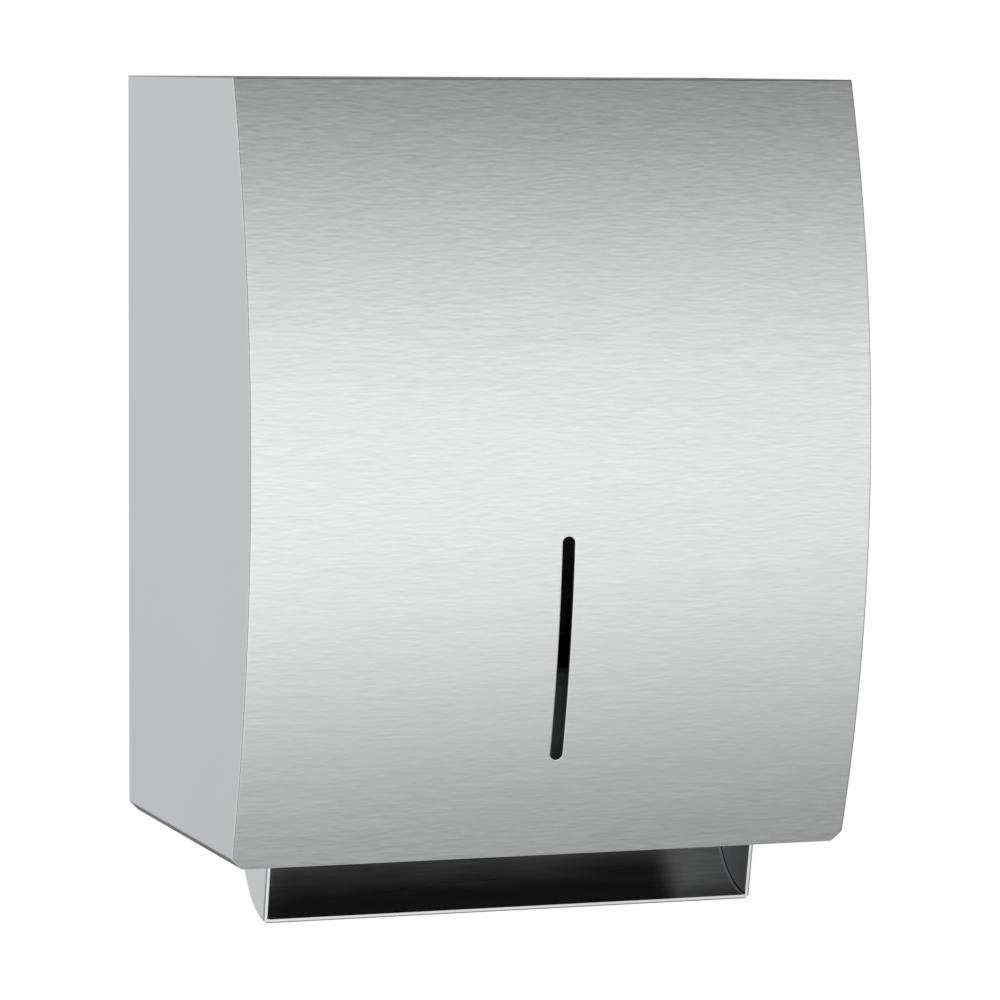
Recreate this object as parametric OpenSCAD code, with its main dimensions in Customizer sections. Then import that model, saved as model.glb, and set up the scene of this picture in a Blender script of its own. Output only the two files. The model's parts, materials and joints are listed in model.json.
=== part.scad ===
// Automatic roll towel dispenser for a wall: a steel cover that tips forward over a roll holder and a
// motor drive. X runs to the right seen from the front, +Y into the wall and +Z up. The origin is the
// centre of the wall screw pattern on the wall's face, at the cover's mid height. Millimetres.

/* [Cover] */
// Width over the side sheets
cover_w = 308; // [300:1:360]
// Height of the cover
cover_h = 370; // [364:1:420]
// Depth from the rear edge to the fullest point of the front
cover_d = 225.4; // [224:0.2:260]
// Radius of the front sheet's curve
front_r = 564; // [550:1:900]
// Height of the fullest point above mid height
front_apex_up = 4.8; // [2:0.2:12]
// Thickness of the cover sheet
cover_t = 1.5; // [1:0.1:2]
// Size of the 45 degree bend along the sides' lower edges
side_bend = 5; // [4:0.5:6]
// Width of the lip past that bend
side_lip = 3; // [2:0.5:4]
// Depth of the return along the front sheet's lower edge
front_return = 10; // [6:1:12]
// From the cover's top edges down to the top sheet between them
lid_drop = 1; // [0:0.1:2]
// Gap from the wall to the cover's rear edge
wall_gap = 3; // [2.5:0.5:5]

/* [Level slot] */
// Width of the upright slot
slot_w = 5.9; // [4:0.1:10]
// Length of the slot over its round ends
slot_len = 107.8; // [60:0.2:130]
// From the cover's top edge down to the slot's upper end
slot_drop = 214.2; // [190:0.2:225]
// Offset of the slot to the right of the cover's middle
slot_x = 1.5; // [-10:0.1:10]

/* [Cover hinge] */
// From the cover's rear edge forward to the hinge axis
hinge_in = 36; // [34:0.5:39]
// From the cover's lower edge up to the hinge axis
hinge_up = 14.5; // [14:0.5:18]
// Diameter of the hinge pins
hinge_pin_d = 8; // [6:0.5:9]
// Diameter of the bosses round the pins
hinge_boss_d = 14; // [12:0.5:15]
// Thickness of the bracket plates and of the pin heads
hinge_t = 2; // [1.5:0.5:3]

/* [Lock] */
// From the striker's lip forward to the lock axis
lock_reach = 17.5; // [16:0.5:22]
// Diameter of the lock barrel
lock_barrel_d = 19; // [17:0.5:20]
// Diameter of the turning plug
lock_plug_d = 12; // [10:0.5:13]
// Length of the barrel under the top sheet
lock_len = 15.5; // [14:0.5:18]
// Thickness of the cam
cam_t = 2; // [1.5:0.5:3]
// Width of the striker's lip
striker_w = 16; // [12:1:18]

/* [Back plate] */
// Thickness of the back plate
plate_t = 1.5; // [1.2:0.1:2]
// Depth of the plate's top flange
top_flange_d = 26; // [22:1:30]
// Gap from the plate's top flange to the top sheet
plate_top_gap = 5.5; // [4.5:0.5:8]
// Wall screw spacing across
wall_hole_across = 130; // [100:1:142]
// Wall screw spacing up
wall_hole_up = 160; // [140:1:166]
// Diameter of the wall screw holes
wall_hole_d = 6.5; // [5:0.5:8]
// From the cover's lower edge up to the base pan's underside
base_up = 8.7; // [7:0.1:10]
// Thickness of the base pan
pan_t = 1.5; // [1.2:0.1:2]

/* [Towel roll] */
// Width of the towel
towel_w = 205; // [195:1:208]
// Largest roll diameter
roll_d = 200; // [180:1:202]
// Gap from the largest roll to the back plate
roll_back_gap = 12; // [8:1:14]
// Gap from the largest roll to the plate's top
roll_top_gap = 18; // [14:1:22]
// Diameter of the core hubs
hub_d = 36; // [32:0.5:40]
// Length of the hubs inside the core
hub_len = 14; // [10:0.5:18]
// Thickness of the roll arms
arm_t = 5; // [4:0.5:6]
// Height of the arms at the back plate
arm_h = 64; // [56:1:70]
// Diameter of the hub pins
hub_pin_d = 8; // [6:0.5:10]
// Diameter of the sprung arm's pivot pin
pivot_pin_d = 6; // [5:0.5:7]

/* [Drive] */
// From the chute's centre back to the drive roller's axis
drive_back = 30; // [28:0.5:32]
// From the base pan up to the roller axes
drive_up = 55; // [53:0.5:60]
// Diameter over the drive tyres
drive_d = 32; // [28:0.5:34]
// Diameter over the pinch tyres
pinch_d = 22; // [18:0.5:23]
// Width of each tyre
tyre_w = 26; // [18:1:32]
// Number of tyres on each roller
tyre_n = 4; // [2:1:4]
// Diameter of the drive core tube
core_d = 24; // [20:0.5:25]
// Diameter of the drive shaft
drive_shaft_d = 8; // [6:0.5:9]
// Diameter of the pinch shaft
pinch_shaft_d = 6; // [5:0.5:8]
// Thickness of the side frames
frame_t = 3.5; // [3:0.5:4]
// From the drive axis back to the motor axis
motor_back = 48; // [46:0.5:52]
// Diameter of the motor can
motor_d = 28; // [24:0.5:30]
// Length of the motor can
motor_len = 50; // [40:1:60]

/* [Gears] */
// Gear module, pitch diameter over teeth
gear_m = 1; // [0.9:0.05:1]
// Teeth on the drive roller's gear
drive_teeth = 42; // [40:1:44]
// Teeth on the idler's large wheel
idler_teeth = 48; // [46:1:50]
// Teeth on the idler's small wheel
small_teeth = 14; // [13:1:16]
// Teeth on the motor pinion
pinion_teeth = 12; // [12:1:14]
// Width of the gear faces
gear_w = 5; // [4:0.5:6]

/* [Paper chute] */
// From the cover's side in to the chute's cheek
chute_side = 29.1; // [28:0.1:36]
// Thickness of the chute sheet
chute_t = 2; // [1.5:0.1:2.5]
// Outer radius of the scoop
chute_r = 43.5; // [41:0.5:46]
// Outer radius of the bends between the scoop and its cheeks
chute_rim = 2.5; // [2.2:0.1:4]
// From the cover's fullest point in to the scoop's centre
chute_in = 79.1; // [76:0.1:82]
// How far behind its centre the scoop's lip ends
lip_back = 1.8; // [0:0.1:4]
// Forward lean of the cheeks' front edges, degrees
cheek_lean = 12; // [6:1:16]

/* [Batteries] */
// Diameter of a cell
cell_d = 33.2; // [31:0.2:34]
// Length of a cell
cell_len = 61.5; // [58:0.5:62]
// Wall of the battery case
case_wall = 2; // [1.5:0.5:2.5]

/* [Controls] */
// From the scoop's centre forward to the housing's face
housing_ahead = 40; // [38:0.5:42]
// Depth of the control housing
housing_d = 22; // [20:0.5:23]
// Height of the control housing
housing_h = 76; // [70:1:80]
// Wall of the control housing
housing_wall = 2.5; // [2:0.5:3]
// Diameter of the feed button
button_d = 14; // [11:0.5:16]
// Travel of the feed button
button_travel = 2; // [1:0.5:2.5]

/* [Fits] */
// Radial clearance of a shaft or pin in its bore
run_gap = 0.05; // [0.02:0.01:0.1]
// Gap between pieces that pass each other
pass_gap = 0.3; // [0.2:0.05:0.5]
// Backlash taken off each gear tooth
backlash = 0.24; // [0.16:0.02:0.3]

/* [Hidden] */

$fa = 4;
$fs = 0.7;
fine = 480;
cut = 1;

steel = "#c6c8ca";
bright = "#dadcde";
zinc = "#aeb2b5";
dark = "#2b2d30";
grey = "#70757a";
white = "#e9ebec";
rubber = "#3a3a3c";
brass = "#c9a65a";

// Cover planes and the front curve's centre
top_z = cover_h / 2;
lid_z = top_z - lid_drop;
low_z = -cover_h / 2;
rear_y = -wall_gap;
half_w = cover_w / 2;
in_x = half_w - cover_t;
curve_y = rear_y - cover_d + front_r;
curve_z = front_apex_up;
function front_y(z, r = front_r) = curve_y - sqrt(r * r - (z - curve_z) * (z - curve_z));
inner_r = front_r - cover_t;
beyond = front_y(curve_z) - cover_t;

// Hinge axis
hinge_y = rear_y - hinge_in;
hinge_z = low_z + hinge_up;

// Back plate and base pan
lip_clear = 1.5;
boss_edge = 4;
pin_head_t = 3;
pan_clear = 2;
plate_x = half_w - side_bend - side_lip - lip_clear;
plate_top = lid_z - cover_t - plate_top_gap;
flange_d = wall_gap + hinge_in + hinge_boss_d / 2 + boss_edge;
pan_z = low_z + base_up;
pan_top = pan_z + pan_t;
pan_x = plate_x - plate_t - pin_head_t - pan_clear;

// Lock, with its cam turned to the right at rest
lock_y = -top_flange_d - lock_reach + plate_t;
head_rise = 2.5;
cam_gap = 1;
swing_gap = 0.8;
cam_top = lid_z - cover_t - lock_len - cam_gap;
lip_low = cam_top + 1.5 * cam_gap;
hook_top = plate_top - 2 * plate_t - cam_gap;
cam_hook = sqrt(pow(lock_reach, 2) + pow(striker_w / 2, 2)) + swing_gap;

// Roll holder
roll_y = -plate_t - roll_back_gap - roll_d / 2;
roll_z = plate_top - roll_top_gap - roll_d / 2;
arm_gap = 3;
arm_in = towel_w / 2 + arm_gap;
arm_out = arm_in + arm_t;
tip_edge = 6;
arm_tip_r = hub_d / 2 + tip_edge;
pocket_rim = 5;
pocket_deep = 1.5;
boss_rim = 2;
foot_w = 18;
foot_t = 3;
pivot_out = 14.5;
pivot_y = -plate_t - pivot_out;
pivot_x = arm_in + arm_t / 2;
knuckle_wall = 4;
knuckle_r = pivot_pin_d / 2 + knuckle_wall;
ear_t = 4;
hub_flange_t = 2.5;
hub_flange_rise = 10;
hub_flange_r = hub_d / 2 + hub_flange_rise;
pin_cap_t = 1.5;
pin_head_rise = 2;
spring_wire = 1.4;
spring_pitch = 2.2;
spring_turns = 6;
spring_gap_in = 0.6;
spring_r = pivot_pin_d / 2 + spring_wire / 2 + spring_gap_in;
spring_z = roll_z + arm_h / 2 + 2 * pass_gap + ear_t + spring_wire / 2;
spring_top = spring_z + spring_turns * spring_pitch + spring_wire / 2;
hub_out = arm_in - pass_gap;
hub_in = hub_out - hub_flange_t - hub_len;

// Paper chute
chute_y = rear_y - cover_d + chute_in;
chute_x = half_w - chute_side;
tab_w = 9;

// Roller and gear axes
frame_gap = 2;
frame_in = towel_w / 2 + frame_gap;
frame_out = frame_in + frame_t;
drive_y = chute_y + drive_back;
roller_z = pan_top + drive_up;
pinch_y = drive_y - drive_d / 2 - pinch_d / 2 - pass_gap;
motor_y = drive_y + motor_back;
mesh_a = gear_m * (drive_teeth + small_teeth) / 2;
mesh_b = gear_m * (idler_teeth + pinion_teeth) / 2;
idler_along = (mesh_a * mesh_a - mesh_b * mesh_b + motor_back * motor_back) / (2 * motor_back);
idler_rise = sqrt(mesh_a * mesh_a - idler_along * idler_along);
idler_y = drive_y + idler_along;
idler_z = roller_z + idler_rise;
bush_flange = 1.5;
bush_wall = 2;
gear_gap = 1;
gear_x = -frame_out - bush_flange - gear_gap;
gear_x2 = gear_x - gear_w - gear_gap;
gear_end = gear_x2 - gear_w;
idler_pin_d = 5;
motor_shaft_d = 3;
drive_bush_r = drive_shaft_d / 2 + bush_wall;
pinch_bush_r = pinch_shaft_d / 2 + bush_wall;
boss_wall = 3.5;
motor_boss_r = motor_shaft_d / 2 + boss_wall;
shaft_in = 12;
roller_end = frame_in - bush_flange - pass_gap;
gear_room = 3;
gear_wall = 2;
function tip_r(teeth) = gear_m * (teeth + 2) / 2;

// Control housing, tear bar and side frames
front_edge = chute_y - housing_ahead;
housing_y = front_edge + housing_d;
frame_over = 2;
frame_top = idler_z + tip_r(idler_teeth) + gear_room + gear_wall + frame_over;
mouth_gap = 1;
mouth_ahead = 7;
mouth_x = towel_w / 2 + mouth_gap;
mouth_front = chute_y - mouth_ahead;
mouth_back = chute_y + chute_r - chute_t;
tear_t = 1.2;
tear_drop = 6;
tear_rise = 10;
holder_d = 6;

// Screws
screw_d = 4;
screw_head_d = 7.5;
screw_head_t = 2.4;
frame_foot_w = 15;
frame_foot_h = 20;
frame_foot_z = [pan_top + frame_foot_h, frame_top - frame_foot_h];
arm_screw_in = 12;
arm_foot_z = [roll_z - arm_h / 2 + arm_screw_in, roll_z + arm_h / 2 - arm_screw_in];
frame_foot_x = frame_in - frame_foot_w / 2;
arm_foot_x = arm_in - foot_w / 2;
chute_tab_x = chute_x + tab_w / 2;
tab_screw_in = 8;
tab_screw_pitch = 20;
chute_tab_y = [chute_y + tab_screw_in, chute_y + tab_screw_in + tab_screw_pitch];

// Battery case on the back plate, between the frames and clear of their feet
cell_gap = 0.4;
cell_end_gap = 0.2;
contact_t = 3;
case_right = frame_in - frame_foot_w - pass_gap;
case_left = case_right - 2 * (cell_len + contact_t + case_wall);
case_y = -plate_t - case_wall - cell_d - 2 * cell_gap;
case_top = pan_top + 2 * cell_d + 3 * cell_gap + 2 * case_wall;
door_t = 2;
rail_t = 1.5;
rail_y = case_y - door_t - 2 * pass_gap;
cell_y = case_y + cell_gap + cell_d / 2;
cell_z = [for (i = [0, 1]) pan_top + case_wall + cell_gap + cell_d / 2 + i * (cell_d + cell_gap)];

// Control board and what stands on the housing's face
board_stand = 9;
board_t = 1.6;
board_in = 30;
board_x = towel_w / 2 - board_in;
board_y = front_edge + housing_wall + board_stand;
board_up = 8;
board_down = 4;
board_low = pan_top + housing_wall + board_up;
board_high = pan_top + housing_h - housing_wall - board_down;
control_z = pan_top + housing_h * 0.6;
button_x = 42;
switch_x = -8;
lamp_x = -48;
switch_travel = 6;
knob_w = 6;
knob_h = 4;
lamp_r = 2.5;
sensor_w = 40;
sensor_d = 10;
sensor_in = 3;
sensor_drop = 1;

// Box between two corners
module box(low, high) {
    translate(low) cube(high - low);
}

// Round bar along X from x0 to x1
module bar_x(x0, x1, r, y, z, fn = 0) {
    translate([x0, y, z]) rotate([0, 90, 0]) cylinder(h = x1 - x0, r = r, $fn = fn);
}

// Round bar along Y from y0 to y1
module bar_y(y0, y1, r, x, z) {
    translate([x, y0, z]) rotate([-90, 0, 0]) cylinder(h = y1 - y0, r = r);
}

// Round bar along Z from z0 to z1
module bar_z(z0, z1, r, x, y, fn = 0) {
    translate([x, y, z0]) cylinder(h = z1 - z0, r = r, $fn = fn);
}

// Outline in Y and Z carried along X from x0 to x1
module along_x(x0, x1) {
    translate([x0, 0, 0]) rotate([90, 0, 90]) linear_extrude(x1 - x0) children();
}

// Outline in X and Z carried along Y from y0 to y1
module along_y(y0, y1) {
    translate([0, y1, 0]) rotate([90, 0, 0]) linear_extrude(y1 - y0) children();
}

module mirrored(on = true) {
    if (on) mirror([1, 0, 0]) children();
    else children();
}

// Cover, front sheet with its slot and lower return
module front_drum(r) {
    bar_x(-half_w - cut, half_w + cut, r, curve_y, curve_z, fine);
}

module front_outline() {
    polygon([[-half_w, top_z], [-half_w, low_z + side_bend], [-half_w + side_bend, low_z],
        [half_w - side_bend, low_z], [half_w, low_z + side_bend], [half_w, top_z]]);
}

module front_panel() {
    slot_high = top_z - slot_drop - slot_w / 2;
    slot_low = top_z - slot_drop - slot_len + slot_w / 2;
    slot_end = front_y(slot_low) + 20;
    return_x = half_w - side_bend - side_lip - pass_gap;
    return_y = front_y(low_z, inner_r) + front_return;
    color(steel) {
        difference() {
            intersection() {
                front_drum(front_r);
                along_y(beyond, front_y(top_z) + 30) front_outline();
            }
            front_drum(inner_r);
            for (z = [slot_low, slot_high]) bar_y(beyond - cut, slot_end, slot_w / 2, slot_x, z);
            box([slot_x - slot_w / 2, beyond - cut, slot_low], [slot_x + slot_w / 2, slot_end, slot_high]);
        }
        intersection() {
            box([-return_x, beyond, low_z], [return_x, return_y, low_z + cover_t]);
            front_drum(front_r - cover_t / 2);
        }
    }
}

// Cover, side sheet with its bent lower edge, right-hand one
module side_outline() {
    mitre = cover_t * tan(22.5);
    lip_x = half_w - side_bend - side_lip;
    polygon([[half_w, top_z], [half_w, low_z + side_bend], [half_w - side_bend, low_z], [lip_x, low_z],
        [lip_x, low_z + cover_t], [half_w - side_bend - mitre, low_z + cover_t],
        [in_x, low_z + side_bend + mitre], [in_x, top_z]]);
}

module side_panel() {
    color(steel) intersection() {
        along_y(beyond, rear_y) side_outline();
        front_drum(inner_r);
    }
}

module left_side_panel() {
    mirrored() side_panel();
}

module right_side_panel() {
    side_panel();
}

module top_panel() {
    hole_r = lock_barrel_d / 2 + head_rise + run_gap;
    color(steel) difference() {
        intersection() {
            box([-in_x, beyond, lid_z - cover_t], [in_x, rear_y, lid_z]);
            front_drum(inner_r);
        }
        translate([0, lock_y, lid_z - cover_t]) cylinder(h = cover_t, r1 = hole_r - cover_t, r2 = hole_r);
    }
}

// Cover hinge
module hinge_bracket() {
    plate_h = 30;
    plate_l = 34;
    low = low_z + side_bend + cover_t;
    color(zinc) difference() {
        union() {
            box([in_x - hinge_t, hinge_y - plate_l / 2, low], [in_x, hinge_y + plate_l / 2, low + plate_h]);
            bar_x(plate_x + pass_gap, in_x - hinge_t / 2, hinge_boss_d / 2, hinge_y, hinge_z);
        }
        bar_x(plate_x, in_x + cut, hinge_pin_d / 2 + run_gap, hinge_y, hinge_z);
    }
}

module left_hinge_bracket() {
    mirrored() hinge_bracket();
}

module right_hinge_bracket() {
    hinge_bracket();
}

module hinge_pins() {
    inner = plate_x - plate_t;
    color(zinc) for (side = [true, false]) mirrored(side) {
        bar_x(inner - pin_head_t, inner, hinge_boss_d / 2, hinge_y, hinge_z);
        bar_x(inner - cut, in_x - pass_gap, hinge_pin_d / 2, hinge_y, hinge_z);
    }
}

// Lock
module lock_barrel() {
    head_r = lock_barrel_d / 2 + head_rise;
    color(zinc) difference() {
        union() {
            translate([0, lock_y, lid_z - cover_t]) cylinder(h = cover_t, r1 = head_r - cover_t, r2 = head_r);
            bar_z(lid_z - cover_t - lock_len, lid_z - cover_t / 2, lock_barrel_d / 2, 0, lock_y);
        }
        bar_z(lid_z - cover_t - lock_len - cut, lid_z + cut, lock_plug_d / 2 + run_gap, 0, lock_y);
    }
}

module lock_nut() {
    nut_t = 4;
    under = lid_z - cover_t;
    color(zinc) difference() {
        bar_z(under - nut_t, under, lock_barrel_d / 2 + nut_t, 0, lock_y, 6);
        bar_z(under - nut_t - cut, under + cut, lock_barrel_d / 2 + run_gap, 0, lock_y);
    }
}

module lock_plug() {
    key_w = 1.6;
    key_l = 7;
    key_deep = 4;
    recess = 0.3;
    face = lid_z - recess;
    color(brass) difference() {
        bar_z(cam_top, face, lock_plug_d / 2, 0, lock_y);
        box([-key_l / 2, lock_y - key_w / 2, face - key_deep], [key_l / 2, lock_y + key_w / 2, face + cut]);
    }
}

module lock_cam() {
    arm_w = 10;
    hook_t = 2.5;
    tip = cam_hook + hook_t;
    screw_r = 2.5;
    rim = 1;
    color(zinc) {
        bar_z(cam_top - cam_t, cam_top, lock_plug_d / 2 + rim, 0, lock_y);
        box([0, lock_y - arm_w / 2, cam_top - cam_t], [tip, lock_y + arm_w / 2, cam_top]);
        box([cam_hook, lock_y - arm_w / 2, cam_top - cam_t], [tip, lock_y + arm_w / 2, hook_top]);
        bar_z(cam_top - 2 * cam_t, cam_top - cam_t / 2, screw_r, 0, lock_y);
    }
}

module latch_striker() {
    front = -top_flange_d;
    under = plate_top - plate_t;
    pad = 14;
    color(zinc) {
        box([-striker_w / 2, front, lip_low], [striker_w / 2, front + plate_t, under]);
        box([-striker_w / 2, front, under - plate_t], [striker_w / 2, front + pad, under]);
    }
}

// Wall plate and base pan
module frame_screw_places() {
    for (side = [true, false]) mirrored(side) {
        for (z = frame_foot_z) translate([frame_foot_x, 0, z]) children();
        for (z = arm_foot_z) translate([arm_foot_x, 0, z]) children();
    }
}

module screw_holes_back() {
    frame_screw_places() bar_y(-plate_t - foot_t - cut, cut, screw_d / 2 + run_gap, 0, 0);
}

module back_plate() {
    bracket_h = 30;
    taper_h = 50;
    low_rise = hinge_z + bracket_h;
    high_rise = low_rise + taper_h;
    color(zinc) difference() {
        union() {
            box([-plate_x, -plate_t, pan_z], [plate_x, 0, plate_top]);
            box([-plate_x, -top_flange_d, plate_top - plate_t], [plate_x, 0, plate_top]);
            for (side = [true, false]) mirrored(side) along_x(plate_x - plate_t, plate_x)
                polygon([[0, pan_z], [-flange_d, pan_z], [-flange_d, low_rise], [-top_flange_d, high_rise],
                    [-top_flange_d, plate_top], [0, plate_top]]);
        }
        for (x = [-0.5, 0.5], z = [-0.5, 0.5])
            bar_y(-plate_t - cut, cut, wall_hole_d / 2, x * wall_hole_across, z * wall_hole_up);
        bar_x(-plate_x - cut, plate_x + cut, hinge_pin_d / 2 + run_gap, hinge_y, hinge_z);
        screw_holes_back();
    }
}

module chute_screw_places() {
    for (side = [true, false], y = chute_tab_y) mirrored(side) translate([chute_tab_x, y, 0]) children();
}

module base_pan() {
    color(grey) difference() {
        box([-pan_x, front_edge, pan_z], [pan_x, -plate_t, pan_top]);
        box([-mouth_x, mouth_front, pan_z - cut], [mouth_x, mouth_back, pan_top + cut]);
        chute_screw_places() bar_z(pan_z - cut, pan_top + cut, screw_d / 2 + run_gap, 0, 0);
        sensor_block(run_gap);
    }
}

// Paper chute, a quarter of a drum with rounded rims, open above and in front
module rounded_drum(half, r, rim) {
    translate([0, chute_y, pan_z]) rotate([0, 90, 0]) {
        cylinder(h = 2 * (half - rim), r = r, center = true, $fn = 160);
        cylinder(h = 2 * half, r = r - rim, center = true, $fn = 160);
        for (z = [rim - half, half - rim])
            translate([0, 0, z]) rotate_extrude($fn = 160) translate([r - rim, 0]) circle(rim);
    }
}

module paper_chute() {
    reach = 2 * chute_r;
    tab_l = tab_screw_pitch + 2 * tab_screw_in;
    color(bright) difference() {
        union() {
            intersection() {
                rounded_drum(chute_x, chute_r, chute_rim);
                box([-chute_x, chute_y - reach, pan_z - reach], [chute_x, chute_y + reach, pan_z]);
            }
            for (side = [true, false]) mirrored(side)
                box([chute_x - chute_t, chute_y, pan_z - chute_t], [chute_x + tab_w, chute_y + tab_l, pan_z]);
        }
        rounded_drum(chute_x - chute_t, chute_r - chute_t, chute_rim - chute_t);
        translate([-chute_x - cut, chute_y + lip_back, pan_z - chute_r]) rotate([cheek_lean, 0, 0])
            translate([0, -reach, -reach]) cube([2 * (chute_x + cut), reach, 3 * reach]);
        chute_screw_places() bar_z(pan_z - chute_t - cut, pan_z + cut, screw_d / 2 + run_gap, 0, 0);
    }
}

// Screws
module frame_screws() {
    face = -plate_t - foot_t;
    color(zinc) frame_screw_places() {
        bar_y(face - screw_head_t, face, screw_head_d / 2, 0, 0);
        bar_y(face - cut, -pass_gap, screw_d / 2, 0, 0);
    }
}

module chute_screws() {
    face = pan_z - chute_t;
    color(zinc) chute_screw_places() {
        bar_z(face - screw_head_t, face, screw_head_d / 2, 0, 0);
        bar_z(face - cut, pan_top, screw_d / 2, 0, 0);
    }
}

// Roll holder
module arm_shape(x0, x1, root_y, inset) {
    along_x(x0, x1) polygon([[root_y, roll_z - arm_h / 2 + inset], [root_y, roll_z + arm_h / 2 - inset],
        [roll_y, roll_z + arm_tip_r - inset], [roll_y, roll_z - arm_tip_r + inset]]);
    bar_x(x0, x1, arm_tip_r - inset, roll_y, roll_z);
}

// Shallow pocket in an arm's outer face, inside an even rim and round a boss for the hub pin's head
module arm_pocket(root_y) {
    boss_r = hub_pin_d / 2 + pin_head_rise + boss_rim;
    difference() {
        arm_shape(arm_out - pocket_deep, arm_out + cut, root_y - pocket_rim, pocket_rim);
        bar_x(arm_in, arm_out + 2 * cut, boss_r, roll_y, roll_z);
    }
}

module hub_pin_hole() {
    bar_x(arm_in - cut, arm_out + cut, hub_pin_d / 2 + run_gap, roll_y, roll_z);
}

module left_roll_arm() {
    root = -plate_t - foot_t;
    color(grey) mirrored() difference() {
        union() {
            arm_shape(arm_in, arm_out, root, 0);
            box([arm_in - foot_w, root, roll_z - arm_h / 2], [arm_out, -plate_t, roll_z + arm_h / 2]);
        }
        arm_pocket(root);
        hub_pin_hole();
        screw_holes_back();
    }
}

module right_roll_arm() {
    color(grey) difference() {
        union() {
            arm_shape(arm_in, arm_out, pivot_y, 0);
            bar_z(roll_z - arm_h / 2, roll_z + arm_h / 2, knuckle_r, pivot_x, pivot_y);
        }
        arm_pocket(pivot_y - knuckle_r);
        hub_pin_hole();
        bar_z(roll_z - arm_h, roll_z + arm_h, pivot_pin_d / 2 + run_gap, pivot_x, pivot_y);
    }
}

module arm_pivot_bracket() {
    root = -plate_t - foot_t;
    ear_low = arm_h / 2 + pass_gap;
    ear_high = ear_low + ear_t;
    color(zinc) difference() {
        union() {
            box([arm_in - foot_w, root, roll_z - ear_high],
                [pivot_x + knuckle_r, -plate_t, roll_z + ear_high]);
            for (z = [roll_z - ear_high, roll_z + ear_low]) {
                bar_z(z, z + ear_t, knuckle_r, pivot_x, pivot_y);
                box([pivot_x - knuckle_r, pivot_y, z], [pivot_x + knuckle_r, -plate_t, z + ear_t]);
            }
        }
        bar_z(roll_z - arm_h, roll_z + arm_h, pivot_pin_d / 2 + run_gap, pivot_x, pivot_y);
        screw_holes_back();
    }
}

module arm_pivot_pin() {
    head_t = 2;
    low = roll_z - arm_h / 2 - pass_gap - ear_t;
    color(zinc) {
        bar_z(low - head_t, low, pivot_pin_d / 2 + pin_head_rise, pivot_x, pivot_y);
        bar_z(low - cut, spring_top + pass_gap + head_t, pivot_pin_d / 2, pivot_x, pivot_y);
        bar_z(spring_top + pass_gap, spring_top + pass_gap + head_t, knuckle_r, pivot_x, pivot_y);
    }
}

// Torsion spring: a helix of six-sided rings, eight to a turn
spring_rings = 8 * spring_turns;
function spring_at(i) = let (a = 45 * i)
    [pivot_x + spring_r * cos(a), pivot_y + spring_r * sin(a), spring_z + spring_pitch * i / 8];
spring_points = [for (i = [0 : spring_rings], k = [0 : 5]) let (a = 45 * i, b = 60 * k)
    spring_at(i) + spring_wire / 2 * [cos(b) * cos(a), cos(b) * sin(a), sin(b)]];
spring_faces = concat([[for (k = [0 : 5]) k], [for (k = [5 : -1 : 0]) 6 * spring_rings + k]],
    [for (i = [0 : spring_rings - 1], k = [0 : 5]) let (a = 6 * i + k, b = 6 * i + (k + 1) % 6) each
        [[a, a + 6, b], [b, a + 6, b + 6]]]);
spring_gap = min([for (i = [0 : spring_rings], j = [i + 6 : 1 : spring_rings])
    norm(spring_at(i) - spring_at(j))]) - spring_wire;
echo(spring_least_gap = spring_gap);

module arm_spring() {
    color(zinc) polyhedron(spring_points, spring_faces);
}

module hub_pin() {
    head_t = 2;
    cap_in = hub_in - pass_gap - pin_cap_t;
    color(zinc) {
        bar_x(arm_out, arm_out + head_t, hub_pin_d / 2 + pin_head_rise, roll_y, roll_z);
        bar_x(cap_in, arm_out + cut, hub_pin_d / 2, roll_y, roll_z);
        bar_x(cap_in, cap_in + pin_cap_t, hub_pin_d / 2 + pin_head_rise, roll_y, roll_z);
    }
}

module left_hub_pin() {
    mirrored() hub_pin();
}

module right_hub_pin() {
    hub_pin();
}

// Core hub: a turned flange and a ribbed plug that tapers to its nose
module core_hub() {
    rib_n = 6;
    rib_t = 2.4;
    nose = 2;
    wall = 2.5;
    stem_r = hub_pin_d / 2 + wall + run_gap;
    color(white) translate([hub_out, roll_y, roll_z]) rotate([0, -90, 0]) difference() {
        union() {
            rotate_extrude() polygon([[0, 0], [hub_flange_r, 0], [hub_flange_r, hub_flange_t],
                [hub_d / 2, hub_flange_t], [hub_d / 2, hub_flange_t + hub_len - nose],
                [hub_d / 2 - nose, hub_flange_t + hub_len], [hub_d / 2 - nose - wall, hub_flange_t + hub_len],
                [hub_d / 2 - nose - wall, hub_flange_t], [stem_r, hub_flange_t],
                [stem_r, hub_flange_t + hub_len], [0, hub_flange_t + hub_len]]);
            for (i = [0 : rib_n - 1]) rotate(360 * i / rib_n)
                translate([stem_r - cut, -rib_t / 2, 0]) cube([hub_d / 2 - nose - stem_r, rib_t, hub_len]);
        }
        translate([0, 0, -cut]) cylinder(h = hub_len + hub_flange_t + 2 * cut, r = hub_pin_d / 2 + run_gap);
    }
}

module left_core_hub() {
    mirrored() core_hub();
}

module right_core_hub() {
    core_hub();
}

// Side frames of the drive
module side_frame() {
    shoulder_in = 8;
    shoulder = pinch_y - pinch_bush_r - shoulder_in;
    difference() {
        union() {
            along_x(frame_in, frame_out) polygon([[-plate_t, pan_top], [front_edge, pan_top],
                [front_edge, pan_top + housing_h], [shoulder, frame_top], [-plate_t, frame_top]]);
            for (z = frame_foot_z) box([frame_in - frame_foot_w, -plate_t - foot_t, z - frame_foot_h / 2],
                [frame_in + cut, -plate_t, z + frame_foot_h / 2]);
        }
        bar_x(frame_in - cut, frame_out + cut, drive_bush_r + run_gap, drive_y, roller_z);
        bar_x(frame_in - cut, frame_out + cut, pinch_bush_r + run_gap, pinch_y, roller_z);
        screw_holes_back();
    }
}

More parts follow.
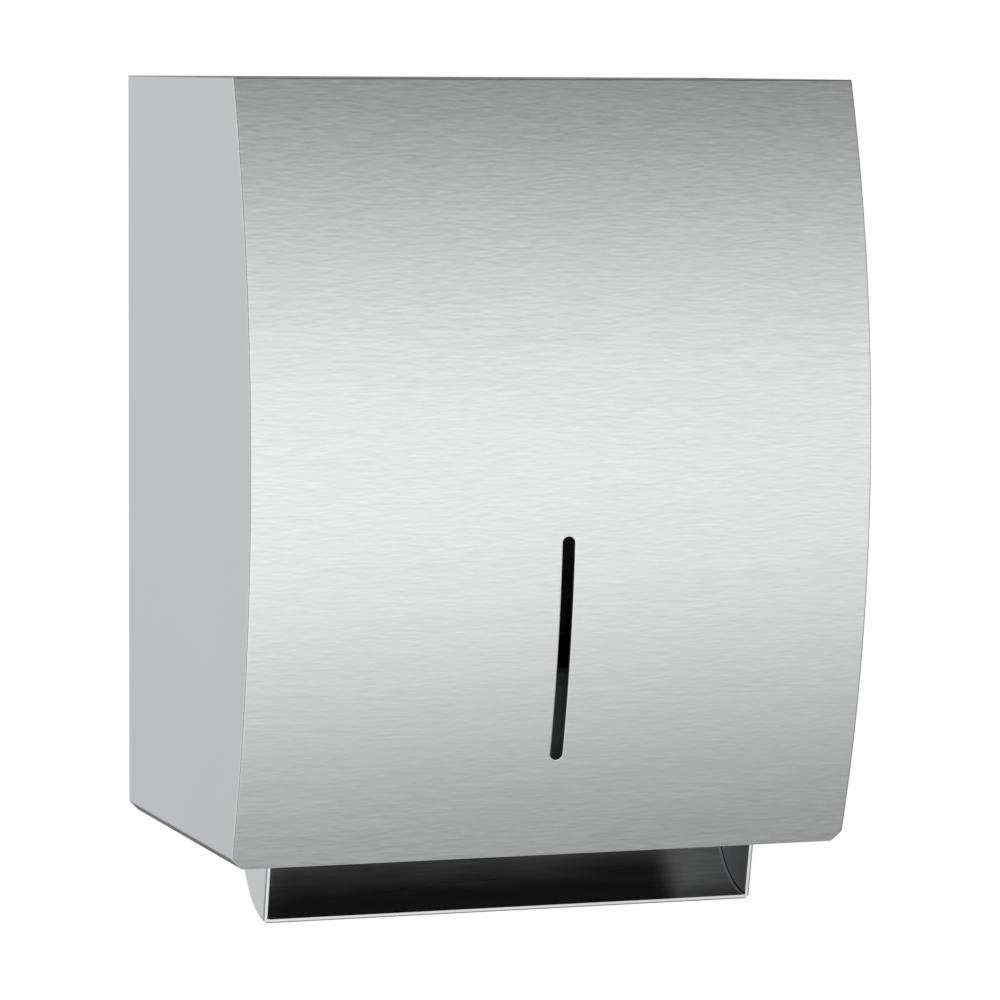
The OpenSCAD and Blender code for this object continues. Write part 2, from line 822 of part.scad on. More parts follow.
module left_side_frame() {
    color(dark) mirrored() difference() {
        side_frame();
        bar_x(frame_in - cut, frame_out + cut, idler_pin_d / 2 + run_gap, idler_y, idler_z);
        bar_x(frame_in - cut, frame_out + cut, motor_boss_r + run_gap, motor_y, roller_z);
    }
}

module right_side_frame() {
    color(dark) side_frame();
}

// Flanged bush in each frame, its flange on the inner face
module bush_pair(r, shaft_d, y) {
    for (side = [true, false]) mirrored(side) difference() {
        union() {
            bar_x(frame_in, frame_out, r, y, roller_z);
            bar_x(frame_in - bush_flange, frame_in, r + bush_wall, y, roller_z);
        }
        bar_x(frame_in - bush_flange - cut, frame_out + cut, shaft_d / 2 + run_gap, y, roller_z);
    }
}

module drive_bushes() {
    color(brass) bush_pair(drive_bush_r, drive_shaft_d, drive_y);
}

module pinch_bushes() {
    color(brass) bush_pair(pinch_bush_r, pinch_shaft_d, pinch_y);
}

// Rollers
module tyre_row(r, bore_r, y) {
    pitch = towel_w / tyre_n;
    for (i = [0 : tyre_n - 1]) {
        x = (i - (tyre_n - 1) / 2) * pitch;
        difference() {
            bar_x(x - tyre_w / 2, x + tyre_w / 2, r, y, roller_z);
            bar_x(x - tyre_w, x + tyre_w, bore_r, y, roller_z);
        }
    }
}

module drive_shaft() {
    color(zinc) bar_x(gear_x - gear_w, frame_out - pass_gap, drive_shaft_d / 2, drive_y, roller_z);
}

module drive_core() {
    color(grey) difference() {
        bar_x(-roller_end, roller_end, core_d / 2, drive_y, roller_z);
        bar_x(-frame_out, frame_out, drive_shaft_d / 2 + run_gap, drive_y, roller_z);
    }
}

module drive_tyres() {
    color(rubber) tyre_row(drive_d / 2, core_d / 2 + run_gap, drive_y);
}

module pinch_shaft() {
    collar = 2;
    collar_rise = 1;
    color(zinc) {
        bar_x(pass_gap - frame_out, frame_out - pass_gap, pinch_shaft_d / 2, pinch_y, roller_z);
        for (x = [-roller_end, roller_end - collar])
            bar_x(x, x + collar, pinch_shaft_d / 2 + collar_rise, pinch_y, roller_z);
    }
}

module pinch_tyres() {
    color(rubber) tyre_row(pinch_d / 2, pinch_shaft_d / 2 + run_gap, pinch_y);
}

// Involute spur gear outline with one tooth centred on the angle called phase
pressure = 20;
function inv(a) = tan(a) * 180 / PI - a;
function flank_at(teeth, r) = let (rp = gear_m * teeth / 2, rb = rp * cos(pressure))
    90 / teeth - backlash / (2 * rp) * 180 / PI + inv(pressure) - inv(acos(min(1, rb / r)));
function flank_radii(teeth) = let (rp = gear_m * teeth / 2, rb = rp * cos(pressure),
        root = rp - 1.25 * gear_m, start = max(root, rb), tip = rp + 0.9 * gear_m)
    concat(root < rb ? [root] : [], [for (k = [0 : 4]) start + (tip - start) * k / 4]);
function polar(r, a) = [r * cos(a), r * sin(a)];

module gear_outline(teeth, phase) {
    radii = flank_radii(teeth);
    last = len(radii) - 1;
    polygon([for (i = [0 : teeth - 1]) let (mid = phase + 360 * i / teeth) each concat(
        [for (r = radii) polar(r, mid - flank_at(teeth, r))],
        [for (k = [last : -1 : 0]) polar(radii[k], mid + flank_at(teeth, radii[k]))])]);
}

mesh_a_angle = atan2(idler_rise, idler_along);
mesh_b_angle = atan2(roller_z - idler_z, motor_y - idler_y);

module gear(x0, x1, y, z, teeth, phase) {
    translate([0, y, z]) along_x(x0, x1) gear_outline(teeth, phase);
}

module drive_gear() {
    web = 2.5;
    rim = tip_r(drive_teeth) - 5 * gear_m;
    hub_wall = 4;
    hub_r = drive_shaft_d / 2 + hub_wall;
    color(white) difference() {
        gear(gear_x - gear_w, gear_x, drive_y, roller_z, drive_teeth, mesh_a_angle);
        difference() {
            bar_x(gear_x - gear_w + web, gear_x + cut, rim, drive_y, roller_z);
            bar_x(gear_x - gear_w, gear_x + 2 * cut, hub_r, drive_y, roller_z);
        }
        bar_x(gear_x - gear_w - cut, gear_x + cut, drive_shaft_d / 2 + run_gap, drive_y, roller_z);
    }
}

module idler_pin() {
    head_t = 2;
    color(zinc) {
        bar_x(-frame_in, -frame_in + head_t, idler_pin_d / 2 + pin_head_rise, idler_y, idler_z);
        bar_x(gear_end - gear_gap, -frame_in + cut, idler_pin_d / 2, idler_y, idler_z);
    }
}

module idler_gear() {
    spacer_r = idler_pin_d / 2 + bush_wall;
    color(white) difference() {
        union() {
            gear(gear_x2, gear_x, idler_y, idler_z, small_teeth, mesh_a_angle + 180 + 180 / small_teeth);
            gear(gear_end, gear_x2, idler_y, idler_z, idler_teeth, mesh_b_angle);
            bar_x(gear_x, -frame_out - pass_gap, spacer_r, idler_y, idler_z);
        }
        bar_x(gear_end - cut, -frame_out + cut, idler_pin_d / 2 + run_gap, idler_y, idler_z);
    }
}

module motor() {
    cap_t = 3;
    cap_step = 1.5;
    rear_boss = 2;
    rear_boss_r = 4;
    lug = [4, 3, 0.8];
    lug_at = [motor_d / 6, motor_d / 6];
    end = -frame_in + motor_len;
    color(grey) difference() {
        union() {
            bar_x(-frame_in, end - cap_t, motor_d / 2, motor_y, roller_z);
            bar_x(end - cap_t, end, motor_d / 2 - cap_step, motor_y, roller_z);
            bar_x(-frame_out, -frame_in + cut, motor_boss_r, motor_y, roller_z);
            bar_x(end - cut, end + rear_boss, rear_boss_r, motor_y, roller_z);
            for (side = [-1, 1])
                translate([end + lug.x / 2, motor_y + side * lug_at.x, roller_z + lug_at.y])
                    cube(lug + [2 * cut, 0, 0], center = true);
        }
        bar_x(-frame_out - cut, -frame_in + shaft_in, motor_shaft_d / 2 + run_gap, motor_y, roller_z);
    }
}

module motor_pinion() {
    color(brass) {
        bar_x(gear_end, -frame_in + shaft_in - pass_gap, motor_shaft_d / 2, motor_y, roller_z);
        gear(gear_end, gear_x2, motor_y, roller_z, pinion_teeth, mesh_b_angle + 180 + 180 / pinion_teeth);
    }
}

// Gear cover, three joined drums over the gears
module gear_drums(x0, x1, grow) {
    bar_x(x0, x1, tip_r(drive_teeth) + grow, drive_y, roller_z);
    bar_x(x0, x1, tip_r(idler_teeth) + grow, idler_y, idler_z);
    bar_x(x0, x1, tip_r(pinion_teeth) + grow, motor_y, roller_z);
}

module gear_cover() {
    inner = gear_end - gear_gap - pass_gap;
    color(dark) difference() {
        gear_drums(inner - gear_wall, -frame_out, gear_room + gear_wall);
        gear_drums(inner, -frame_out + cut, gear_room);
    }
}

// Paper path
module paper_guide() {
    sheet = 2.5;
    fin_t = 2;
    fin_n = 5;
    fin_d = 5;
    fin_in = 1;
    fin_up = 4;
    high = roller_z - drive_d / 2 - fin_d;
    color(dark) {
        box([-frame_in, mouth_back, pan_top], [frame_in, mouth_back + sheet, high]);
        for (i = [0 : fin_n - 1]) {
            x = (i - (fin_n - 1) / 2) * towel_w / (fin_n + 0.5);
            along_x(x - fin_t / 2, x + fin_t / 2) polygon([[mouth_back + fin_in, pan_top],
                [mouth_back - fin_d, pan_top + fin_up], [mouth_back, high], [mouth_back + fin_in, high]]);
        }
    }
}

module tear_bar() {
    tooth = 5;
    tooth_h = 2.5;
    half = towel_w / 2;
    n = floor(towel_w / tooth);
    step = towel_w / n;
    low = pan_z - tear_drop;
    color(bright) along_y(mouth_front, mouth_front + tear_t) polygon(concat(
        [[half, pan_top + tear_rise], [-half, pan_top + tear_rise]],
        [for (i = [0 : n - 1]) each [[-half + i * step, low + tooth_h], [-half + (i + 0.5) * step, low]]],
        [[half, low + tooth_h]]));
}

module tear_bar_holder() {
    pocket_l = 24;
    wall = 2;
    color(dark) difference() {
        box([-frame_in, mouth_front - holder_d, pan_top], [frame_in, mouth_front, pan_top + tear_rise]);
        for (x = [-0.3, 0, 0.3] * towel_w)
            box([x - pocket_l / 2, mouth_front - holder_d - cut, pan_top + wall],
                [x + pocket_l / 2, mouth_front - wall, pan_top + tear_rise - wall]);
    }
}

// Battery case, open in front, with rails for the door
module battery_case() {
    color(dark) {
        difference() {
            box([case_left, case_y, pan_top], [case_right, -plate_t, case_top]);
            box([case_left + case_wall, case_y - cut, pan_top + case_wall],
                [case_right - case_wall, -plate_t - case_wall, case_top - case_wall]);
        }
        for (x = [case_left, case_right - rail_t])
            box([x, rail_y - rail_t, pan_top], [x + rail_t, case_y + cut, case_top]);
        for (x = [case_left, case_right - 2 * rail_t])
            box([x, rail_y - rail_t, pan_top], [x + 2 * rail_t, rail_y, case_top]);
    }
}

module battery_door() {
    grip = [30, 1, 2];
    grip_n = 4;
    grip_pitch = 5;
    grip_drop = 6;
    face = case_y - pass_gap - door_t;
    mid = (case_left + case_right) / 2;
    color(dark) {
        box([case_left + rail_t + pass_gap, face, pan_top + pass_gap],
            [case_right - rail_t - pass_gap, case_y - pass_gap, case_top]);
        for (i = [0 : grip_n - 1])
            translate([mid - grip.x / 2, face - grip.y, case_top - grip_drop - grip.z - i * grip_pitch])
                cube(grip + [0, cut, 0]);
    }
}

module batteries() {
    nub_r = 5;
    nub_h = 1.8;
    start = case_left + case_wall + contact_t;
    body = cell_len - nub_h - cell_end_gap;
    color(grey) for (row = [0, 1], i = [0, 1]) {
        x = start + i * cell_len;
        nub_left = row == 0;
        x0 = nub_left ? x + nub_h : x;
        nub_x = nub_left ? x : x + body - cut;
        bar_x(x0, x0 + body, cell_d / 2, cell_y, cell_z[row]);
        bar_x(nub_x, nub_x + nub_h + cut, nub_r, cell_y, cell_z[row]);
    }
}

// Contact plates at both ends, each with a stub that meets its cell
module battery_contacts() {
    plate = 0.8;
    stub_r = 4;
    half = cell_d * 0.3;
    low = case_left + case_wall;
    high = case_right - case_wall;
    color(bright) for (z = cell_z) {
        box([low, cell_y - half, z - half], [low + plate, cell_y + half, z + half]);
        bar_x(low, low + contact_t, stub_r, cell_y, z);
        box([high - plate, cell_y - half, z - half], [high, cell_y + half, z + half]);
        bar_x(high - contact_t, high, stub_r, cell_y, z);
    }
}

// Control housing and what it carries
module sensor_block(grow) {
    y = front_edge + housing_wall + sensor_in;
    high = board_low - board_up / 2;
    box([-sensor_w / 2 - grow, y - grow, pan_z - sensor_drop],
        [sensor_w / 2 + grow, y + sensor_d + grow, high]);
}

module control_housing() {
    post_r = 3;
    post_in = 5;
    knob_x = knob_w / 2 + pass_gap;
    knob_z = knob_h / 2 + pass_gap;
    high = pan_top + housing_h;
    wall_in = front_edge + housing_wall;
    bezel_w = 2.5;
    bezel_h = 0.8;
    slope = 6;
    slope_in = slope + housing_wall * (sqrt(2) - 1);
    floor_z = pan_top + housing_wall;
    roof_z = high - housing_wall;
    color(grey) difference() {
        union() {
            for (at = [[button_x, button_d / 2], [lamp_x, lamp_r]])
                bar_y(front_edge - bezel_h, wall_in, at.y + bezel_w, at.x, control_z);
            difference() {
                along_x(-frame_in, frame_in) polygon([[front_edge, pan_top], [front_edge, high - slope],
                    [front_edge + slope, high], [housing_y, high], [housing_y, pan_top]]);
                along_x(housing_wall - frame_in, frame_in - housing_wall) polygon([[wall_in, floor_z],
                    [wall_in, high - slope_in], [front_edge + slope_in, roof_z], [housing_y + cut, roof_z],
                    [housing_y + cut, floor_z]]);
            }
            for (x = [post_in - board_x, board_x - post_in], z = [board_low + post_in, board_high - post_in])
                bar_y(wall_in - housing_wall / 2, board_y, post_r, x, z);
        }
        bar_y(front_edge - bezel_h - cut, wall_in + cut, button_d / 2 + pass_gap, button_x, control_z);
        bar_y(front_edge - bezel_h - cut, wall_in + cut, lamp_r + run_gap, lamp_x, control_z);
        box([switch_x - knob_x, front_edge - cut, control_z - knob_z],
            [switch_x + knob_x + switch_travel, wall_in + cut, control_z + knob_z]);
        sensor_block(run_gap);
    }
}

module control_board() {
    chip = [24, 2, 16];
    chip_up = 18;
    capacitor_r = 4;
    capacitor_at = [40, 14];
    plug = [20, 5, 8];
    plug_at = [-50, 6];
    capacitor_gap = 1.5;
    push_r = 3;
    push_h = 3;
    lamp_h = 3.5;
    back = board_y + board_t;
    into = board_t / 2;
    color("#2f5d46") {
        box([-board_x, board_y, board_low], [board_x, back, board_high]);
        translate([-chip.x / 2, back - into, board_low + chip_up]) cube(chip + [0, into, 0]);
        translate([plug_at.x, back - into, board_low + plug_at.y]) cube(plug + [0, into, 0]);
        bar_y(back - into, housing_y - capacitor_gap, capacitor_r, capacitor_at.x, board_low + capacitor_at.y);
        bar_y(board_y - push_h, board_y + into, push_r, button_x, control_z);
        bar_y(board_y - lamp_h, board_y + into, lamp_r, lamp_x, control_z);
    }
}

module sensor_lens() {
    color(dark) sensor_block(0);
}

module status_lamp() {
    flange = 1;
    flange_rise = 1.5;
    wall_in = front_edge + housing_wall;
    color("#9fc9a5") {
        bar_y(front_edge - flange, wall_in + flange, lamp_r, lamp_x, control_z);
        bar_y(wall_in, wall_in + flange, lamp_r + flange_rise, lamp_x, control_z);
    }
}

module feed_button() {
    rise = 3;
    flange = 1.5;
    flange_rise = 2;
    wall_in = front_edge + housing_wall + pass_gap;
    dish = 1;
    dish_r = 1.3 * button_d;
    color(white) difference() {
        union() {
            bar_y(front_edge - rise, wall_in + flange, button_d / 2, button_x, control_z);
            bar_y(wall_in, wall_in + flange, button_d / 2 + flange_rise, button_x, control_z);
        }
        translate([button_x, front_edge - rise + dish - dish_r, control_z]) sphere(dish_r);
    }
}

module length_switch() {
    rise = 2.5;
    flange = 1.2;
    wall_in = front_edge + housing_wall + pass_gap;
    groove_n = 3;
    groove_w = 0.8;
    groove_deep = 0.6;
    groove_pitch = knob_w / (groove_n + 0.5);
    color(white) difference() {
        union() {
            box([switch_x - knob_w / 2, front_edge - rise, control_z - knob_h / 2],
                [switch_x + knob_w / 2, wall_in + flange, control_z + knob_h / 2]);
            box([switch_x - knob_w, wall_in, control_z - knob_h],
                [switch_x + knob_w, wall_in + flange, control_z + knob_h]);
        }
        for (i = [0 : groove_n - 1]) {
            x = switch_x + (i - (groove_n - 1) / 2) * groove_pitch;
            box([x - groove_w / 2, front_edge - rise - cut, control_z - knob_h],
                [x + groove_w / 2, front_edge - rise + groove_deep, control_z + knob_h]);
        }
    }
}

front_panel();
left_side_panel();
right_side_panel();
top_panel();
left_hinge_bracket();
right_hinge_bracket();
lock_barrel();
lock_nut();
lock_plug();
lock_cam();
back_plate();
hinge_pins();
latch_striker();
left_roll_arm();
left_hub_pin();
left_core_hub();
arm_pivot_bracket();
arm_pivot_pin();
arm_spring();
right_roll_arm();
right_hub_pin();
right_core_hub();
base_pan();
paper_chute();
left_side_frame();
right_side_frame();
drive_bushes();
pinch_bushes();
drive_shaft();
drive_core();
drive_tyres();
drive_gear();
pinch_shaft();
pinch_tyres();
idler_pin();
idler_gear();
motor();
motor_pinion();
gear_cover();
paper_guide();
tear_bar();
tear_bar_holder();
battery_case();
batteries();
battery_contacts();
battery_door();
control_housing();
control_board();
sensor_lens();
status_lamp();
feed_button();
length_switch();
frame_screws();
chute_screws();
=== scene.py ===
"""Looks of an automatic roll towel dispenser, laid out as an add-on and run as a script.

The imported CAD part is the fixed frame. The bent sheets that show most (front, sides, scoop) and the
screw heads are made here as surfaces; the other CAD nodes keep their shape and get a finish.
Lengths are metres in the frame's own axes: X right, Y into the wall, Z up.
"""

import json
import math

import bmesh
import bpy
import numpy as np
from bpy.props import FloatProperty, FloatVectorProperty, IntProperty, PointerProperty
from mathutils import Matrix, Vector


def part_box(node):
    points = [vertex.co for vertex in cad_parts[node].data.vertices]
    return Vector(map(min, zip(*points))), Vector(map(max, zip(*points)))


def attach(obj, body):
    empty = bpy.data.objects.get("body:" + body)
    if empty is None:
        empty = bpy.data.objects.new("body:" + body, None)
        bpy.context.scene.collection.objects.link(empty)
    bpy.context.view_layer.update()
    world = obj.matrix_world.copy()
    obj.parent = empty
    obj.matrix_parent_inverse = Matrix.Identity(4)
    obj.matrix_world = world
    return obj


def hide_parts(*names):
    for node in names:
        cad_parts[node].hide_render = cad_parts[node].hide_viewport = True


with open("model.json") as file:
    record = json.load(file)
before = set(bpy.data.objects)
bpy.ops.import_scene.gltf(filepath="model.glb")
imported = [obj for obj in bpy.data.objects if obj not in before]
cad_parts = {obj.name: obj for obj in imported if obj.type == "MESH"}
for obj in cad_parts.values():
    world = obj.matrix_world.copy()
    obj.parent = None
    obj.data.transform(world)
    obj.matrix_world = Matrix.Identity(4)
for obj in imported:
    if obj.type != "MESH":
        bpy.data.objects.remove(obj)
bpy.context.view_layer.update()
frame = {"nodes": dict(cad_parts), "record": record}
NODES = frame["nodes"]
RECORD = frame["record"]

bl_info = {
    "name": "Roll Towel Dispenser",
    "version": (1, 0, 0),
    "blender": (4, 5, 0),
    "location": "View3D > Sidebar > Dispenser",
    "description": "Builds the bent sheets, screw heads, finishes and stage of a roll towel dispenser",
    "category": "Add Mesh",
}

FRONT_LOW, FRONT_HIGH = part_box("front_panel")
SIDE_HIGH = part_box("right_side_panel")[1]
PAN_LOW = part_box("base_pan")[0]
SCOOP_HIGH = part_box("paper_chute")[1]
CELLS_LOW, CELLS_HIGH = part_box("batteries")

HALF_BEND = math.radians(22.5)
SHARP_ANGLE = math.radians(38)
BEVEL_ANGLE = math.radians(50)
MERGE_DISTANCE = 1e-7
THINNEST_FACE = 1e-8
SCOOP_TAB = 0.009
SENSOR_WIDTH = 36.0


def length(name, description, default):
    """Length property in metres."""
    return FloatProperty(name=name, description=description, default=default, unit="LENGTH", precision=5)


def angle(name, description, degrees):
    """Angle property, given in degrees and kept in radians."""
    return FloatProperty(name=name, description=description, default=math.radians(degrees), subtype="ANGLE")


def colour(name, description, default):
    """Linear colour property."""
    return FloatVectorProperty(name=name, description=description, default=default, size=3,
                               min=0.0, max=1.0, subtype="COLOR")


class DispenserCover(bpy.types.PropertyGroup):
    """Sizes of the cover's sheets."""

    half_width: length("Half width", "From the middle to a side sheet's outer face", FRONT_HIGH.x)
    top: length("Top", "Height of the cover's top edge", FRONT_HIGH.z)
    foot: length("Foot", "Height of the cover's lower edge", FRONT_LOW.z)
    rear: length("Rear", "Place of the cover's rear edge", SIDE_HIGH.y)
    fullest: length("Fullest point", "Place of the front sheet's fullest point", FRONT_LOW.y)
    bow_radius: length("Bow radius", "Radius of the front sheet's curve", 0.564)
    bow_rise: length("Bow rise", "Height of the fullest point above mid height", 0.0048)
    sheet: length("Sheet", "Thickness of the cover's sheet", 0.0015)
    edge: length("Edge", "Rounding of the cover's outer edges", 0.0005)
    slot_edge: length("Slot edge", "Rounding of the level slot's edge", 0.0004)
    bend: length("Bend", "Size of the 45 degree bend along the sides' lower edges", 0.005)
    bend_radius: length("Bend radius", "Outer radius of the sheet at a bend", 0.0022)
    lip: length("Lip", "Width of the lip past that bend", 0.003)
    slot_width: length("Slot width", "Width of the level slot", 0.0059)
    slot_length: length("Slot length", "Length of the level slot over its round ends", 0.1078)
    slot_drop: length("Slot drop", "From the top edge down to the slot's upper end", 0.2142)
    slot_x: length("Slot offset", "How far the level slot stands right of the middle", 0.0015)
    fold: length("Fold", "Height of the fold along the top's rear edge, below its rounding", 0.0015)
    fold_inset: length("Fold inset", "How far the fold stands in from the rear edge", 0.00005)
    front_return: length("Return", "Depth of the return along the front sheet's lower edge", 0.010)


class DispenserScoop(bpy.types.PropertyGroup):
    """Sizes of the scoop under the cover."""

    half_width: length("Half width", "From the middle to a cheek's outer face", SCOOP_HIGH.x - SCOOP_TAB)
    radius: length("Radius", "Outer radius of the scoop", 0.0435)
    centre: length("Centre", "Place of the scoop's centre line", -0.1493)
    top: length("Top", "Height of the scoop's upper edges, under the base pan", PAN_LOW.z)
    sheet: length("Sheet", "Thickness of the scoop's sheet", 0.002)
    rim: length("Rim", "Outer radius of the bends between scoop and cheeks", 0.0025)
    lip_back: length("Lip", "How far behind its centre line the scoop's lip ends", 0.0018)
    lean: angle("Lean", "Forward lean of the cheeks' front edges", 12.0)
    edge: length("Edge", "Rounding of the sheet's edges", 0.0008)
    tab_width: length("Tab width", "Width of the screw tabs", SCOOP_TAB)
    tab_length: length("Tab length", "Length of the screw tabs", 0.036)
    tab_corner: length("Tab corner", "Radius of the screw tabs' corners", 0.0025)


class DispenserScrews(bpy.types.PropertyGroup):
    """Sizes of the cross-recessed screw heads."""

    head: length("Head", "Radius of a screw head", 0.00375)
    height: length("Height", "Height of a screw head", 0.0024)
    recess: length("Recess", "Reach of the cross recess from the middle", 0.0021)
    slot: length("Slot", "Half width of the recess's arms", 0.00042)
    depth: length("Depth", "Depth of the recess", 0.0012)
    around: IntProperty(name="Around", description="Points round a head", default=64, min=24, max=128)


class DispenserFinish(bpy.types.PropertyGroup):
    """Colours of the finishes, linear."""

    front_steel: colour("Front steel", "Brushed steel of the front sheet", (0.70, 0.715, 0.705))
    side_steel: colour("Side steel", "Satin steel of the sides and top", (0.56, 0.565, 0.595))
    # Painted shade along the cover's cut top edge and the scoop's outer arrises.
    edge_shade: colour("Cut edge", "Dark cut and bent edges of the cover's sheets", (0.09, 0.092, 0.095))
    # Painted shade on the bend under the sides' lower edges.
    bend_shade: colour("Bent edge", "Shaded bend along the sides' lower edges", (0.058, 0.059, 0.062))
    scoop_steel: colour("Scoop steel", "Bright steel of the scoop's edges", (0.96, 0.963, 0.97))
    scoop_inside: colour("Scoop inside", "Inner face of the scoop", (0.85, 0.855, 0.87))
    scoop_cheek: colour("Scoop cheek", "Inner faces of the scoop's cheeks", (0.72, 0.725, 0.74))
    zinc: colour("Zinc", "Plated steel of plates, pins and screws", (0.52, 0.535, 0.55))
    brass: colour("Brass", "Brass of the lock plug, bushes and pinion", (0.62, 0.45, 0.17))
    motor: colour("Motor can", "Plated can of the motor", (0.34, 0.345, 0.35))
    # Also the painted shade inside the scoop and beside its bends.
    dark_plastic_and_shade: colour("Dark plastic", "Black moulded plastic", (0.018, 0.019, 0.021))
    pan_plastic: colour("Pan plastic", "Grey plastic of the base pan", (0.34, 0.345, 0.35))
    grey_plastic: colour("Grey plastic", "Grey moulded plastic", (0.155, 0.170, 0.185))
    white_plastic: colour("White plastic", "White moulded plastic", (0.72, 0.735, 0.73))
    rubber: colour("Rubber", "Rubber of the tyres", (0.035, 0.034, 0.034))
    cell_wrap: colour("Cell wrap", "Dark part of the cells' wrap", (0.018, 0.018, 0.020))
    cell_band: colour("Cell band", "Copper part of the cells' wrap", (0.48, 0.20, 0.07))
    board: colour("Circuit board", "Solder mask of the circuit board", (0.012, 0.105, 0.045))
    lens: colour("Sensor window", "Dark red plastic of the sensor window", (0.030, 0.006, 0.008))
    lamp: colour("Lamp", "Green lens of the status lamp", (0.16, 0.55, 0.20))


class DispenserStage(bpy.types.PropertyGroup):
    """Camera, floor and light."""

    camera: FloatVectorProperty(name="Camera", description="Place of the camera", size=3,
                                default=(-0.76613, -2.40513, 0.19292), subtype="TRANSLATION", unit="LENGTH")
    yaw: FloatProperty(name="Yaw", description="Camera's turn to the right of the wall's normal",
                       default=0.32475, subtype="ANGLE")
    pitch: FloatProperty(name="Pitch", description="Camera's tilt above the level", default=-0.08852,
                         subtype="ANGLE")
    roll: FloatProperty(name="Roll", description="Camera's turn about its own axis", default=0.00519,
                        subtype="ANGLE")
    lens: FloatProperty(name="Lens", description="Focal length for a 36 mm sensor, in millimetres",
                        default=177.91, unit="CAMERA")
    floor: length("Floor", "Height of the floor", -0.95)
    floor_half: length("Floor size", "Half the floor's side", 0.6)
    floor_colour: colour("Floor colour", "Pale floor", (0.82, 0.82, 0.82))
    band: FloatProperty(name="Band", description="Brightness of the level band in front", default=1.39)
    ceiling: FloatProperty(name="Ceiling", description="Brightness high in front", default=0.23)
    ground: FloatProperty(name="Ground", description="Brightness low in front", default=0.24)
    flags: FloatProperty(name="Flags", description="Share of the light left at both sides", default=0.3,
                         min=0.0, max=1.0, subtype="FACTOR")
    lamp_place: FloatVectorProperty(name="Lamp", description="Place of the soft lamp", size=3,
                                    default=(-0.6, -1.3, 2.0), subtype="TRANSLATION", unit="LENGTH")
    lamp_size: length("Lamp size", "Side of the soft lamp", 1.6)
    lamp_power: FloatProperty(name="Lamp power", description="Power of the soft lamp", default=40.0,
                              unit="POWER")
    backdrop: FloatProperty(name="Backdrop", description="Brightness of the white behind", default=1.0)


# Mesh helpers

def quad_grid(rows, columns, wrap_rows=False, wrap_columns=False):
    """Corner numbers of the quads of a grid of points, row by row; wrap joins the last line to the first."""
    row = np.arange(rows if wrap_rows else rows - 1)[:, None]
    column = np.arange(columns if wrap_columns else columns - 1)[None, :]
    below = (row + 1) % rows
    beside = (column + 1) % columns
    corners = np.broadcast_arrays(row * columns + column, row * columns + beside,
                                  below * columns + beside, below * columns + column)
    return np.stack(corners, axis=-1).reshape(-1, 4)


def shell(outer, inner):
    """Closed sheet between two grids of points (rows, columns, 3): both faces, the edge strips that join
    their first and last columns, and the strips that close the first and last rows."""
    rows, columns = outer.shape[:2]
    ring = np.concatenate([outer, inner[:, ::-1]], axis=1)
    sides = quad_grid(rows, 2 * columns, wrap_columns=True)
    first = np.arange(columns - 1)
    cap = np.stack([first, first + 1, 2 * columns - 2 - first, 2 * columns - 1 - first], axis=-1)
    quads = np.concatenate([sides, cap, cap + (rows - 1) * 2 * columns])
    return ring.reshape(-1, 3), quads


def bent_path(corners, radii, runs):
    """Path through corners in a plane, each inner corner rounded by an arc: the straight run before
    corner i has runs[i] points and the arc spans the two points where it leaves and meets the runs."""
    corners = np.asarray(corners, float)
    pieces = []
    start = corners[0]
    for i, radius in enumerate(radii, start=1):
        into = corners[i] - corners[i - 1]
        away = corners[i + 1] - corners[i]
        into = into / np.linalg.norm(into)
        away = away / np.linalg.norm(away)
        turn = math.acos(float(np.clip(into @ away, -1.0, 1.0)))
        reach = radius * math.tan(turn / 2)
        meet = corners[i] - into * reach
        pieces.append(start + (meet - start) * np.linspace(0, 1, runs[i - 1], endpoint=False)[:, None])
        share = np.linspace(0, 1, ARC_STEPS, endpoint=False)[:, None] * turn
        side = away - into * (into @ away)
        size = np.linalg.norm(side)
        side = side / size if size > 1e-9 else side
        pieces.append(meet + radius * (np.sin(share) * into + (1 - np.cos(share)) * side))
        start = corners[i] + away * reach
    pieces.append(start + (corners[-1] - start) * np.linspace(0, 1, runs[-1])[:, None])
    return np.concatenate(pieces)


def make_piece(name, points, quads, body, replaced, finish):
    """Links a closed mesh as a piece: doubles merged, faces outwards, smooth with sharp edges kept."""
    mesh = bpy.data.meshes.new(name)
    mesh.from_pydata(points.tolist(), [], quads.tolist())
    work = bmesh.new()
    work.from_mesh(mesh)
    bmesh.ops.remove_doubles(work, verts=work.verts, dist=MERGE_DISTANCE)
    bmesh.ops.dissolve_degenerate(work, edges=work.edges, dist=THINNEST_FACE)
    bmesh.ops.recalc_face_normals(work, faces=work.faces)
    work.to_mesh(mesh)
    work.free()
    mesh.polygons.foreach_set("use_smooth", np.ones(len(mesh.polygons), dtype=bool))
    mesh.set_sharp_from_angle(angle=SHARP_ANGLE)
    mesh.materials.append(finish)
    piece = bpy.data.objects.new(name, mesh)
    bpy.context.scene.collection.objects.link(piece)
    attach(piece, body)
    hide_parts(*replaced)
    return piece


def round_edges(piece, width, segments=3):
    """Bevel that rounds a piece's sharp edges."""
    bevel = piece.modifiers.new("Edges", "BEVEL")
    bevel.width = width
    bevel.segments = segments
    bevel.limit_method = "ANGLE"
    bevel.angle_limit = BEVEL_ANGLE
    bevel.harden_normals = True


# Cover sheets

def bow(sizes, z, depth=0.0):
    """Place of the front sheet at height z: the circle of the bow's radius less depth, about a centre
    behind the fullest point."""
    centre = sizes.fullest + sizes.bow_radius
    return centre - np.sqrt((sizes.bow_radius - depth) ** 2 - (z - sizes.bow_rise) ** 2)


SIDE_STEPS = 110
TOP_STEPS = 84
ARC_STEPS = 8
LEG_STEPS = 4
EDGE_STEPS = 5
FACE_STEPS = 44
BACK_STEPS = 24
FACE_CROWDING = 1.25
WALL_STEPS = 96
ALONG_STEPS = 40
FOLD_STEPS = 13
SMALLEST_BEND = 0.0002


